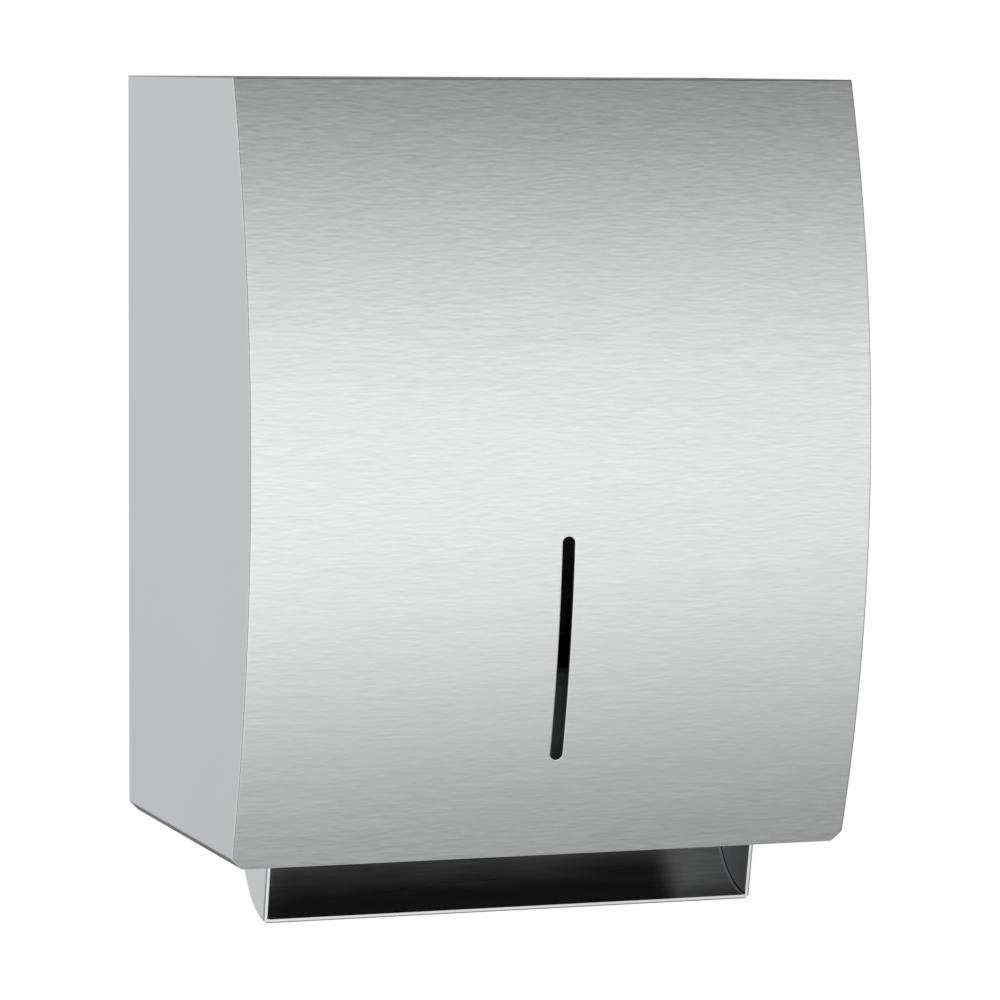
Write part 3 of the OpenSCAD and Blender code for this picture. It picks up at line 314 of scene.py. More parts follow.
def slot_ring(sizes):
    """Outline of the level slot as a ring of (x, z) and its outward normals: straight, half circle,
    straight, half circle."""
    r = sizes.slot_width / 2
    high = sizes.top - sizes.slot_drop - r
    low = sizes.top - sizes.slot_drop - sizes.slot_length + r
    along = np.linspace(0, 1, SIDE_STEPS, endpoint=False)
    turn = np.linspace(0, math.pi, TOP_STEPS, endpoint=False)
    flat = np.zeros(SIDE_STEPS)
    normal_x = np.concatenate([flat + 1, np.cos(turn), flat - 1, -np.cos(turn)])
    normal_z = np.concatenate([flat, np.sin(turn), flat, -np.sin(turn)])
    middle = np.concatenate([low + (high - low) * along, np.full(TOP_STEPS, high),
                             high + (low - high) * along, np.full(TOP_STEPS, low)])
    normal = np.stack([normal_x, normal_z], axis=-1)
    return np.stack([sizes.slot_x + r * normal_x, middle + r * normal_z], axis=-1), normal


def outline_ring(sizes):
    """Outline of the front sheet as a ring of (x, z) that matches slot_ring point for point, with its
    outward normals: up the right, along the top, down the left, then round the two lower bends."""
    w, b, foot = sizes.half_width, sizes.bend, sizes.foot
    start = foot + b + sizes.bend_radius * math.tan(HALF_BEND)
    corners = np.array([(w, start), (w, sizes.top), (-w, sizes.top), (-w, start)])
    points, normals = [], []
    out = np.array([(1.0, 0.0), (0.0, 1.0), (-1.0, 0.0)])
    for i, count in enumerate((SIDE_STEPS, TOP_STEPS, SIDE_STEPS)):
        share = np.linspace(0, 1, count, endpoint=False)[:, None]
        points.append(corners[i] + (corners[i + 1] - corners[i]) * share)
        first = out[i] + (out[i - 1] if i else 0.0)
        normals.append(np.concatenate([first[None], np.repeat(out[i:i + 1], count - 1, axis=0)]))
    flat_steps = TOP_STEPS - 4 * ARC_STEPS - 2 * LEG_STEPS
    lower = bent_path([(-w, start), (-w, foot + b), (b - w, foot), (w - b, foot), (w, foot + b), (w, start)],
                      [sizes.bend_radius] * 4, [0, LEG_STEPS, flat_steps, LEG_STEPS, 0])
    lead = np.gradient(lower, axis=0)
    lead = lead / np.linalg.norm(lead, axis=1)[:, None]
    points.append(lower)
    normals.append(np.stack([lead[:, 1], -lead[:, 0]], axis=-1))
    return np.concatenate(points), np.concatenate(normals)


def front_sheet(sizes):
    """Front sheet as a closed ring of points: round the slot by across the sheet. Each column mixes the
    slot's ring and the outline by a share, with both drawn in by an offset, and lies at a depth under the
    bow, so one line of columns runs over the slot's rounded edge, the face, the outer rounded edge and
    the back."""
    slot, slot_normal = slot_ring(sizes)
    outline, outline_normal = outline_ring(sizes)
    turn = np.linspace(0, math.pi / 2, EDGE_STEPS)
    lift, fall = 1 - np.cos(turn), 1 - np.sin(turn)
    face = np.linspace(0, 1, FACE_STEPS) ** FACE_CROWDING
    back = np.linspace(1, 0, BACK_STEPS)
    edge_flat, back_flat = np.zeros(EDGE_STEPS), np.zeros(BACK_STEPS)
    share = np.concatenate([edge_flat, face, edge_flat + 1, back])
    slot_in = np.concatenate([sizes.slot_edge * lift, np.full(FACE_STEPS, 2 * sizes.slot_edge), edge_flat,
                              back_flat])
    outer_in = np.concatenate([edge_flat, np.full(FACE_STEPS, 2 * sizes.edge), sizes.edge * lift[::-1],
                               back_flat])
    depth = np.concatenate([sizes.slot_edge * fall, np.zeros(FACE_STEPS), sizes.edge * fall[::-1],
                            back_flat + sizes.sheet])
    near = slot[:, None] + slot_in[None, :, None] * slot_normal[:, None]
    far = outline[:, None] - outer_in[None, :, None] * outline_normal[:, None]
    flat = near + (far - near) * share[None, :, None]
    x, z = flat[..., 0], flat[..., 1]
    y = bow(sizes, z, np.broadcast_to(depth, z.shape))
    points = np.stack([x, y, z], axis=-1)
    rows, columns = x.shape
    return points.reshape(-1, 3), quad_grid(rows, columns, wrap_rows=True, wrap_columns=True)


def front_return(sizes):
    """Return along the front sheet's lower edge: a flat strip whose front edge follows the bow's inner
    face, x by depth."""
    clearance = 0.2 * sizes.sheet
    half = sizes.half_width - sizes.bend - sizes.lip - clearance
    x, share = np.meshgrid(np.linspace(-half, half, BACK_STEPS), np.linspace(0, 1, EDGE_STEPS), indexing="ij")
    start = bow(sizes, np.full_like(x, sizes.foot), sizes.sheet)
    y = start + sizes.front_return * share
    low = np.stack([x, y, np.full_like(x, sizes.foot)], axis=-1)
    high = low + np.array([0, 0, sizes.sheet])
    return shell(low, high)


def side_sheet(sizes, side):
    """Side sheet: its bent outline in X and Z, with a rounded top edge and two bends, carried along Y from
    the rear edge to the bow's inner face. side is 1 on the right and -1 on the left."""
    w, b, t = sizes.half_width, sizes.bend, sizes.sheet
    mitre = t * math.tan(HALF_BEND)
    lip_x = w - b - sizes.lip
    tight = max(sizes.bend_radius - t, SMALLEST_BEND)
    runs = [2, WALL_STEPS, LEG_STEPS, LEG_STEPS]
    outer = bent_path([(w - t, sizes.top), (w, sizes.top), (w, sizes.foot + b), (w - b, sizes.foot),
                       (lip_x, sizes.foot)], [sizes.edge, sizes.bend_radius, sizes.bend_radius], runs)
    inner = bent_path([(w - t, sizes.top), (w - t, sizes.top - sizes.edge),
                       (w - t, sizes.foot + b + mitre), (w - b - mitre, sizes.foot + t),
                       (lip_x, sizes.foot + t)], [sizes.edge, tight, tight], runs)
    share = np.linspace(0, 1, ALONG_STEPS)[:, None]

    def carried(path):
        x, z = path[None, :, 0] * side, path[None, :, 1]
        y = sizes.rear + (bow(sizes, z, t) - sizes.rear) * share
        return np.stack([np.broadcast_to(x, y.shape), y, np.broadcast_to(z, y.shape)], axis=-1)

    return shell(carried(outer), carried(inner))


def rear_fold(sizes, side):
    """Half of the fold that stands on the top sheet's rear edge: a strip as high as the sides, its upper
    edge a half circle, carried along X from the middle to a side sheet."""
    r = sizes.sheet / 2
    turn = np.linspace(0, math.pi, FOLD_STEPS)
    y = sizes.rear - sizes.fold_inset - r + np.concatenate([[-r], -r * np.cos(turn), [r]])
    z = sizes.top - r + np.concatenate([[-sizes.fold], r * np.sin(turn), [-sizes.fold]])
    x = np.linspace(0, side * (sizes.half_width - sizes.sheet), ALONG_STEPS)[:, None]
    path = np.stack(np.broadcast_arrays(x, y, z), axis=-1)
    crest = (FOLD_STEPS + 1) // 2
    return shell(path[:, :crest + 1], path[:, :crest - 1:-1])


# Scoop

SCOOP_ROWS = 61
RIM_STEPS = 9
CROSS_STEPS = 25
CHEEK_STEPS = 12
CHEEK_TOP_SHARE = 0.45
SMALLEST_RIM = 0.0003
TAB_STEPS = (8, 14)


def scoop_face(sizes, inset):
    """One face of the folded scoop sheet, drawn in by inset: rows run along the arc from its rear top edge
    to the lip, columns run down a cheek, round a bend, across the scoop, round the other bend and up the
    other cheek. A cheek's line goes from its edge (along the top, then down the leaning front) to the arc."""
    half = sizes.half_width - inset
    radius = sizes.radius - inset
    rim = max(sizes.rim - inset, SMALLEST_RIM)
    lean = np.array([-math.sin(sizes.lean), math.cos(sizes.lean)])
    lip = np.array([sizes.lip_back, -sizes.radius])
    share = np.linspace(0, 1, SCOOP_ROWS)[:, None]

    def front_end(r):
        """Angle at which the leaning front plane cuts the circle of radius r, down from level."""
        along = -(lip @ lean) - np.sqrt((lip @ lean) ** 2 - (lip @ lip - r ** 2))
        return np.arctan2(-(lip[1] + along * lean[1]), lip[0] + along * lean[0])

    turn = np.linspace(0, math.pi / 2, RIM_STEPS)
    bend_r = radius - rim + rim * np.sin(turn)
    bend_x = half - rim + rim * np.cos(turn)
    cross = np.linspace(1, -1, CROSS_STEPS)[1:-1]
    r = np.concatenate([bend_r, np.full(cross.size, radius), bend_r[::-1]])
    x = np.concatenate([bend_x, (half - rim) * cross, -bend_x[::-1]])
    fall = share * front_end(r)[None, :]
    fold = np.stack([np.broadcast_to(x, fall.shape), r * np.cos(fall), -r * np.sin(fall)], axis=-1)

    corner = lip + lean * (sizes.radius / lean[1])
    stops = [0.0, CHEEK_TOP_SHARE, 1.0]
    edge_y = np.interp(share, stops, [fold[0, 0, 1], corner[0], fold[-1, 0, 1]])
    edge_z = np.interp(share, stops, [fold[0, 0, 2], corner[1], fold[-1, 0, 2]])
    down = np.linspace(0, 1, CHEEK_STEPS)[:-1][None, :]
    cheek_y = edge_y + (fold[:, :1, 1] - edge_y) * down
    cheek_z = edge_z + (fold[:, :1, 2] - edge_z) * down
    cheek = np.stack([np.full_like(cheek_y, half), cheek_y, cheek_z], axis=-1)
    other = cheek[:, ::-1] * np.array([-1, 1, 1])
    return np.concatenate([cheek, fold, other], axis=1) + np.array([0, sizes.centre, sizes.top])


def scoop_sheet(sizes):
    """Scoop sheet: the outer and inner face of the fold, closed along its edges."""
    return shell(scoop_face(sizes, 0.0), scoop_face(sizes, sizes.sheet))


def scoop_tab(sizes, side):
    """Screw tab beside a cheek: a flat strip, X by Y, with its outer corners rounded off."""
    rows, columns = TAB_STEPS
    corner = sizes.tab_corner
    across = np.linspace(0, 1, columns)
    x = sizes.half_width - sizes.sheet / 2 + (sizes.tab_width + sizes.sheet / 2) * across
    past = np.clip((x - (x[-1] - corner)) / corner, 0, 1)
    trim = corner * (1 - np.sqrt(1 - past ** 2))
    share = np.linspace(0, 1, rows)[:, None]
    y = sizes.centre + trim + (sizes.tab_length - 2 * trim) * share
    high = np.stack([np.broadcast_to(x * side, y.shape), y, np.full(y.shape, sizes.top)], axis=-1)
    return shell(high, high - np.array([0, 0, sizes.sheet]))


# Screw heads

HEAD_RINGS = 26
RIM_HEIGHT = 0.45
RECESS_WALL = 0.3
RECESS_END = 0.35
SCREW_ROWS = {"frame_screws": (8, (0.0, -1.0, 0.0)), "chute_screws": (4, (0.0, 0.0, -1.0))}


def screw_head(sizes, place, out):
    """Domed screw head on a face: rings round its axis, the height falling from the middle to the rim as
    a flat arc, less a cross recess with sloping ends. place is the middle of its seat, out its axis."""
    ring = np.linspace(0, 1, HEAD_RINGS)[:, None] * sizes.head
    turn = np.linspace(0, 2 * math.pi, sizes.around, endpoint=False)[None, :]
    u, v = ring * np.cos(turn), ring * np.sin(turn)
    arm = np.minimum(np.abs(u), np.abs(v))
    reach = np.maximum(np.abs(u), np.abs(v))
    cut = np.clip((sizes.slot - arm) / (RECESS_WALL * sizes.slot) + 0.5, 0, 1)
    cut = cut * np.clip((sizes.recess - reach) / (RECESS_END * sizes.recess), 0, 1)
    arc = np.sqrt(np.clip(1 - (ring / sizes.head) ** 2, 0, 1))
    dome = sizes.height * (RIM_HEIGHT + (1 - RIM_HEIGHT) * arc)
    height = np.broadcast_to(dome, u.shape) - sizes.depth * cut
    across = np.array([1.0, 0.0, 0.0])
    beside = np.cross(out, across)
    base = place + u[..., None] * across + v[..., None] * beside
    top = base + height[..., None] * out
    points = np.concatenate([top, base[::-1]])
    rows, columns = points.shape[:2]
    return points.reshape(-1, 3), quad_grid(rows, columns, wrap_columns=True)


def solid_boxes(node, count):
    """Low and high corners of a CAD node's equal solids, whose points follow one another in the mesh."""
    mesh = NODES[node].data
    points = np.empty(3 * len(mesh.vertices))
    mesh.vertices.foreach_get("co", points)
    points = points.reshape(count, -1, 3)
    return points.min(axis=1), points.max(axis=1)


def join_shapes(shapes):
    """One list of points and quads from several."""
    points, quads, start = [], [], 0
    for more_points, more_quads in shapes:
        points.append(more_points)
        quads.append(more_quads + start)
        start += len(more_points)
    return np.concatenate(points), np.concatenate(quads)


# Finishes

PATTERN_ENDS = (0.3, 0.7)


class Graph:
    """Nodes of a finish or of the world."""

    def __init__(self, tree):
        self.tree = tree

    def add(self, kind, inputs=None, **settings):
        """New node; an input that is a socket is linked, any other value is set on it."""
        node = self.tree.nodes.new(kind)
        for key, value in settings.items():
            setattr(node, key, value)
        for key, value in (inputs or {}).items():
            if isinstance(value, bpy.types.NodeSocket):
                self.tree.links.new(value, node.inputs[key])
            else:
                node.inputs[key].default_value = value
        return node

    def split(self, vector):
        """X, Y and Z of a vector as three sockets."""
        node = self.add("ShaderNodeSeparateXYZ", {"Vector": vector})
        return [node.outputs[axis] for axis in "XYZ"]

    def sum(self, operation, first, second=0.0, third=0.0):
        """Result of one operation on up to three values."""
        return self.add("ShaderNodeMath", {0: first, 1: second, 2: third}, operation=operation).outputs[0]

    def span(self, value, low, high, to_low=0.0, to_high=1.0, smooth=False):
        """Value mapped from low..high to to_low..to_high and held there."""
        kind = "SMOOTHSTEP" if smooth else "LINEAR"
        return self.add("ShaderNodeMapRange", {
            "Value": value, "From Min": low, "From Max": high, "To Min": to_low, "To Max": to_high},
            interpolation_type=kind).outputs["Result"]

    def ease(self, value, ends, to_low=0.0, to_high=1.0):
        """Span with a soft start and end; ends are the values where it starts and ends."""
        return self.span(value, *ends, to_low, to_high, smooth=True)

    def blend(self, first, second, share):
        """Sum of two patterns, the first by a share and the second by the rest."""
        return self.sum("MULTIPLY_ADD", first, share, self.sum("MULTIPLY", second, 1.0 - share))

    def strengthen(self, pattern, strength):
        """Pattern with its distance from 0.5 multiplied by a strength."""
        return self.sum("MULTIPLY_ADD", self.sum("SUBTRACT", pattern, 0.5), strength, 0.5)


class Finish(Graph):
    """Node graph of one procedural finish: a Principled shader fed by patterns on Object coordinates."""

    def __init__(self, name, metallic=0.0, roughness=0.5, round_edge=0.0):
        self.material = bpy.data.materials.new(name)
        self.material.use_nodes = True
        super().__init__(self.material.node_tree)
        self.shader = self.tree.nodes["Principled BSDF"]
        self.shader.inputs["Metallic"].default_value = metallic
        self.shader.inputs["Roughness"].default_value = roughness
        self.place = self.add("ShaderNodeTexCoord").outputs["Object"]
        self.round_edge = round_edge

    def shift(self, way, share):
        """Moves the place that later patterns use along a way, by a share of it."""
        move = self.add("ShaderNodeVectorMath", {0: way, "Scale": share}, operation="SCALE").outputs[0]
        self.place = self.add("ShaderNodeVectorMath", {0: self.place, 1: move}, operation="ADD").outputs[0]

    def scaled(self, size):
        """Place measured in features of the given size along X, Y and Z."""
        scale = [1.0 / step for step in size]
        return self.add("ShaderNodeMapping", {"Vector": self.place, "Scale": scale}).outputs["Vector"]

    def grain(self, size, detail=3.0, roughness=0.55):
        """Noise with features of the given size along X, Y and Z, 0 to 1."""
        return self.add("ShaderNodeTexNoise", {
            "Vector": self.scaled(size), "Scale": 1.0, "Detail": detail, "Roughness": roughness,
            "Distortion": 0.0}).outputs["Fac"]

    def even_grain(self, size, detail=4.0):
        """Noise with features of one size."""
        return self.grain((size, size, size), detail)

    def cells(self, size, randomness=1.0):
        """Node of a pattern of cells of one size."""
        return self.add("ShaderNodeTexVoronoi", {
            "Vector": self.scaled((size, size, size)), "Scale": 1.0, "Randomness": randomness})

    def mix(self, factor, first, second):
        """Colour between first and second."""
        node = self.add("ShaderNodeMix", data_type="RGBA")
        for socket, value in ((node.inputs[0], factor), (node.inputs[6], first), (node.inputs[7], second)):
            if isinstance(value, bpy.types.NodeSocket):
                self.tree.links.new(value, socket)
            elif socket == node.inputs[0]:
                socket.default_value = value
            else:
                socket.default_value = (*value, 1.0)
        return node.outputs[2]

    def tone(self, pattern, tint, spread):
        """Colour that varies about a tint by a share either way with a pattern."""
        dark = [channel * (1 - spread) for channel in tint]
        light = [min(1.0, channel * (1 + spread)) for channel in tint]
        return self.mix(self.span(pattern, *PATTERN_ENDS), dark, light)

    def gloss(self, pattern, low, high):
        """Roughness that goes from low to high with a pattern."""
        self.feed("Roughness", self.span(pattern, *PATTERN_ENDS, low, high))

    def feed(self, socket, value):
        """Links a value to one of the shader's inputs."""
        self.tree.links.new(value, self.shader.inputs[socket])

    def relief(self, height, distance, strength=1.0):
        """Bump of the given depth in metres, over softly rounded edges where the finish has them."""
        inputs = {"Height": height, "Strength": strength, "Distance": distance}
        if self.round_edge:
            soft = self.add("ShaderNodeBevel", {"Radius": self.round_edge}, samples=4)
            inputs["Normal"] = soft.outputs["Normal"]
        self.feed("Normal", self.add("ShaderNodeBump", inputs).outputs["Normal"])


def front_steel(colours):
    """Brushed steel: short, nearly straight streaks along X in tone, gloss and relief, each with a weaker
    opposite streak beside it, over broad faint bands. The streaks are strongest at the top and calmest
    above the foot; in the tone this is painted light, standing for how the light falls on the bow. A
    dark line of painted shade runs along the cut top edge."""
    finish = Finish("front_brushed_steel", metallic=1.0)
    height = finish.split(finish.place)[2]
    fine_size, broad_size, wave_size = (0.0092, 0.0092, 0.00105), (0.060, 0.060, 0.006), (0.030, 0.030, 0.012)
    wander, spacing = 0.0010, 0.0011
    calm_height, full_height, foot_height = -0.13, 0.10, (-0.145, -0.170)
    finish.shift((0.0, 0.0, wander), finish.grain(wave_size, detail=1.0))
    fine = finish.grain(fine_size, detail=4.0, roughness=0.6)
    broad = finish.grain(broad_size)
    finish.shift((0.0, 0.0, spacing), 1.0)
    beside = finish.grain(fine_size, detail=4.0, roughness=0.6)
    fine = finish.sum("MULTIPLY_ADD", fine, 0.88, finish.sum("MULTIPLY_ADD", beside, -0.33, 0.225))
    broad = finish.strengthen(broad, finish.span(height, 0.06, 0.12, 1.0, 0.4))
    # Painted light: the tone's streaks grow stronger with height, standing for how the light falls.
    strength = finish.sum("ADD", finish.span(height, calm_height, full_height, 0.57, 1.05),
                          finish.span(height, *foot_height, 0.0, 0.22))
    streak = finish.strengthen(finish.blend(fine, broad, 0.82), strength)
    steel = finish.tone(streak, colours.front_steel, 0.15)
    # Painted shade: a dark line along the cut top edge.
    rim_low, rim_high, rim_share = 0.0008, 0.0005, 0.25
    rim = finish.span(height, FRONT_HIGH.z - rim_low, FRONT_HIGH.z - rim_high, 0.0, rim_share)
    finish.feed("Base Color", finish.mix(rim, steel, colours.edge_shade))
    finish.gloss(streak, 0.35, 0.42)
    finish.relief(streak, 0.00003, 0.5)
    return finish.material


def side_steel(colours):
    """Satin steel: faint streaks along Y, with painted shade, dark and dull, where the lower edge is bent
    under and, by half, along the cut top edge."""
    finish = Finish("side_satin_steel", metallic=1.0)
    height = finish.split(finish.place)[2]
    fine = finish.grain((0.0005, 0.020, 0.0006), detail=3.0)
    cloud = finish.even_grain(0.09, detail=2.0)
    streak = finish.blend(fine, cloud, 0.5)
    steel = finish.tone(streak, colours.side_steel, 0.02)
    # Painted shade: the bend under the lower edge, and by half a line along the top edge, turn dark and less
    # metallic.
    bend_high, bend_low = 0.0052, 0.0044
    rim_low, rim_high, rim_share = 0.0007, 0.0004, 0.5
    bent = finish.span(height, FRONT_LOW.z + bend_high, FRONT_LOW.z + bend_low)
    rim = finish.span(height, FRONT_HIGH.z - rim_low, FRONT_HIGH.z - rim_high, 0.0, rim_share)
    finish.shader.inputs["Specular IOR Level"].default_value = 0.08
    finish.feed("Metallic", finish.sum("SUBTRACT", 1.0, finish.sum("MAXIMUM", bent, rim)))
    edged = finish.mix(rim, steel, colours.edge_shade)
    finish.feed("Base Color", finish.mix(bent, edged, colours.bend_shade))
    finish.gloss(streak, 0.36, 0.42)
    finish.relief(streak, 0.00001, 0.4)
    return finish.material


def scoop_shade(finish, scoop, x, z):
    """Share of shade inside the scoop: it grows from the open top down to the lip, deeper right of the
    middle, ends before the right cheek and is never less than a thin band along the lip."""
    lip = scoop.top - scoop.radius + scoop.sheet
    wide = finish.ease(z, (lip + 0.001, lip + 0.022), 0.90, 0.0)
    right = finish.ease(x, (-0.03, 0.07), 0.0, 0.75)
    deep = finish.sum("MULTIPLY", right, finish.ease(z, (lip + 0.010, lip + 0.022), 1.0, 0.0))
    near_cheek = finish.ease(x, (0.082, 0.101), 1.0, 0.2)
    shade = finish.sum("MULTIPLY", finish.sum("MAXIMUM", wide, deep), near_cheek)
    return finish.sum("MAXIMUM", shade, finish.ease(z, (lip + 0.0005, lip + 0.0065), 0.6, 0.0))


def scoop_steel(colours):
    """Folded steel in three tones: satin outside, bright on the cut edges, streaked along X on the inner
    faces, which are nearer the scoop's axis than its inner radius and between its cheeks. Painted shade
    darkens the inner faces towards the lip, a painted highlight runs along the inner bends with a line
    of painted shade beside them on the cheeks, and painted shade lines the outer arrises."""
    scoop = bpy.context.scene.dispenser_scoop
    finish = Finish("scoop_steel", metallic=1.0)
    x, y, z = finish.split(finish.place)
    back = finish.sum("SUBTRACT", y, scoop.centre)
    drop = finish.sum("SUBTRACT", z, scoop.top)
    squares = finish.sum("MULTIPLY_ADD", back, back, finish.sum("MULTIPLY", drop, drop))
    around = finish.sum("SQRT", squares)
    aside = finish.sum("ABSOLUTE", x)
    soft = 0.0001
    bore = scoop.radius - scoop.sheet
    half = scoop.half_width - scoop.sheet

    def past(value, edge, first, last, most=1.0):
        """Step from 0 to most, between first and last soft widths past an edge."""
        return finish.span(value, edge + first * soft, edge + last * soft, 0.0, most)

    inside = finish.sum("MULTIPLY", past(around, bore, 3, 1), past(aside, half, 3, 1))
    rise = finish.sum("MULTIPLY", finish.sum("ADD", drop, scoop.radius), math.sin(scoop.lean))
    run = finish.sum("SUBTRACT", back, scoop.lip_back)
    depth = finish.sum("MULTIPLY_ADD", run, math.cos(scoop.lean), rise)
    behind = past(depth, scoop.edge, -1, 1)
    outside = finish.sum("MAXIMUM", past(around, scoop.radius, -2, -1), past(aside, scoop.half_width, -2, -1))
    outside = finish.sum("MULTIPLY", outside, behind)
    # Painted shade: a dark line along the outer arrises.
    arris_shade = finish.sum("MAXIMUM", past(around, scoop.radius, -7, -5, 0.75),
                       past(aside, scoop.half_width, -7, -5, 0.75))
    cheek = past(aside, half, -3, -2)
    # Painted highlight along the inner bends, and a line of painted shade on the cheeks beside them.
    bend_highlight = finish.sum("MULTIPLY", past(around, bore, -2, -1), past(aside, half, -16, -13))
    gap = finish.sum("MULTIPLY", cheek, past(around, bore, -14, -10))
    fine = finish.grain((0.030, 0.0012, 0.0012), detail=4.0, roughness=0.65)
    broad = finish.grain((0.10, 0.008, 0.008), detail=2.0)
    streak = finish.blend(fine, broad, 0.6)
    edge = finish.mix(arris_shade, finish.tone(streak, colours.scoop_steel, 0.02), colours.edge_shade)
    outer = finish.tone(streak, colours.side_steel, 0.03)
    shade = scoop_shade(finish, scoop, x, z)
    # Painted shade: the inner faces go over to black towards the lip.
    inner = finish.mix(shade, finish.tone(streak, colours.scoop_inside, 0.30), colours.dark_plastic_and_shade)
    inner = finish.mix(cheek, inner, finish.tone(streak, colours.scoop_cheek, 0.05))
    # Painted shade beside the inner bends, then a painted highlight, bright and less metallic, along them.
    inner = finish.mix(gap, inner, colours.dark_plastic_and_shade)
    inner = finish.mix(bend_highlight, inner, colours.scoop_steel)
    finish.feed("Base Color", finish.mix(inside, finish.mix(outside, edge, outer), inner))
    dull = finish.sum("MULTIPLY", bend_highlight, 0.22)
    finish.feed("Metallic", finish.sum("SUBTRACT", finish.span(inside, 0.0, 1.0, 1.0, 0.9), dull))
    finish.gloss(streak, 0.26, 0.36)
    finish.relief(streak, 0.00002, 0.4)
    return finish.material


def strip_steel(colours):
    """Bright stamped strip: fine streaks along X."""
    finish = Finish("strip_steel", metallic=1.0, round_edge=0.0002)
    streak = finish.grain((0.012, 0.0005, 0.0005), detail=3.0)
    finish.feed("Base Color", finish.tone(streak, colours.scoop_steel, 0.05))
    finish.gloss(streak, 0.22, 0.34)
    finish.relief(streak, 0.00002, 0.3)
    return finish.material


def zinc_plate(colours):
    """Zinc plated steel: small angular spangles in tone and gloss, with a fine grain."""
    finish = Finish("zinc_plate", metallic=1.0, round_edge=0.0004)
    spangle = finish.cells(0.005).outputs["Color"]
    facet = finish.add("ShaderNodeSeparateColor", {"Color": spangle}).outputs[0]
    grain = finish.even_grain(0.0012)
    blend = finish.blend(facet, grain, 0.45)
    finish.feed("Base Color", finish.tone(blend, colours.zinc, 0.10))
    finish.feed("Roughness", finish.span(blend, 0.2, 0.8, 0.30, 0.46))
    finish.relief(grain, 0.00003, 0.4)
    return finish.material


def turned_brass(colours):
    """Turned brass: fine rings and a little tarnish."""
    finish = Finish("turned_brass", metallic=1.0, round_edge=0.0002)
    ring = finish.grain((0.0004, 0.004, 0.004), detail=3.0)
    tarnish = finish.even_grain(0.006)
    blend = finish.blend(ring, tarnish, 0.4)
    finish.feed("Base Color", finish.tone(blend, colours.brass, 0.16))
    finish.gloss(blend, 0.24, 0.40)
    finish.relief(ring, 0.00002, 0.4)
    return finish.material


def motor_can(colours):
    """Drawn motor can: streaks along its axis."""
    finish = Finish("motor_can", metallic=1.0, round_edge=0.0005)
    streak = finish.grain((0.020, 0.0008, 0.0008), detail=3.0)
    finish.feed("Base Color", finish.tone(streak, colours.motor, 0.10))
    finish.gloss(streak, 0.30, 0.44)
    finish.relief(streak, 0.00003, 0.4)
    return finish.material


def moulded(name, tint, roughness, grain_size=0.0007, depth=0.00006, round_edge=0.0005):
    """Moulded plastic: spark-eroded grain in relief, with slow flow marks in tone and gloss."""
    finish = Finish(name, round_edge=round_edge)
    grain = finish.even_grain(grain_size, detail=3.0)
    flow = finish.grain((0.05, 0.03, 0.02), detail=3.0)
    blend = finish.blend(flow, grain, 0.6)
    finish.feed("Base Color", finish.tone(blend, tint, 0.10))
    finish.gloss(blend, roughness - 0.07, roughness + 0.07)
    finish.relief(grain, depth, 0.6)
    return finish.material


def ribbed_rubber(colours):
    """Tyre rubber: fine grooves across X with a dull bloom."""
    finish = Finish("tyre_rubber", round_edge=0.0004)
    pitch = 0.0016
    wave = finish.sum("SINE", finish.sum("MULTIPLY", finish.split(finish.place)[0], 2 * math.pi / pitch))
    groove = finish.span(wave, -0.6, 0.2)
    bloom = finish.even_grain(0.004)
    finish.feed("Base Color", finish.tone(bloom, colours.rubber, 0.30))
    finish.gloss(bloom, 0.68, 0.86)
    finish.relief(groove, 0.00025, 0.8)
    return finish.material


def cell_wrap(colours):
    """Cells' wrap: each cell along X has bare metal ends, a copper band at its button end and a dark body.
    The share along a cell is the fraction of X over the cell length, turned round in the upper row."""
    finish = Finish("cell_wrap")
    cells_in_row, gap = 2, 0.0002
    button_end, plain_end, band_end, blur = 0.040, 0.983, 0.335, 0.005
    x, _, z = finish.split(finish.place)
    cell = (CELLS_HIGH.x - CELLS_LOW.x + gap) / cells_in_row
    along = finish.sum("DIVIDE", finish.sum("SUBTRACT", x, CELLS_LOW.x), cell)
    share = finish.sum("FRACT", along)
    upper = finish.sum("GREATER_THAN", z, (CELLS_LOW.z + CELLS_HIGH.z) / 2)
    turned = finish.sum("SUBTRACT", 1.0, share)
    share = finish.sum("MULTIPLY_ADD", upper, finish.sum("SUBTRACT", turned, share), share)
    scuff = finish.grain((0.006, 0.002, 0.002), detail=4.0)
    dark = finish.tone(scuff, colours.cell_wrap, 0.25)
    copper = finish.tone(scuff, colours.cell_band, 0.12)
    wrapped = finish.mix(finish.span(share, band_end, band_end + blur), copper, dark)
    bare = finish.sum("MAXIMUM", finish.span(share, button_end + blur, button_end),
                      finish.span(share, plain_end - blur, plain_end))
    finish.feed("Base Color", finish.mix(bare, wrapped, colours.zinc))
    sheen = finish.span(share, band_end + blur, band_end, 0.0, 0.7)
    finish.feed("Metallic", finish.sum("MAXIMUM", bare, sheen))
    finish.gloss(scuff, 0.26, 0.40)
    finish.relief(scuff, 0.00003, 0.4)
    return finish.material


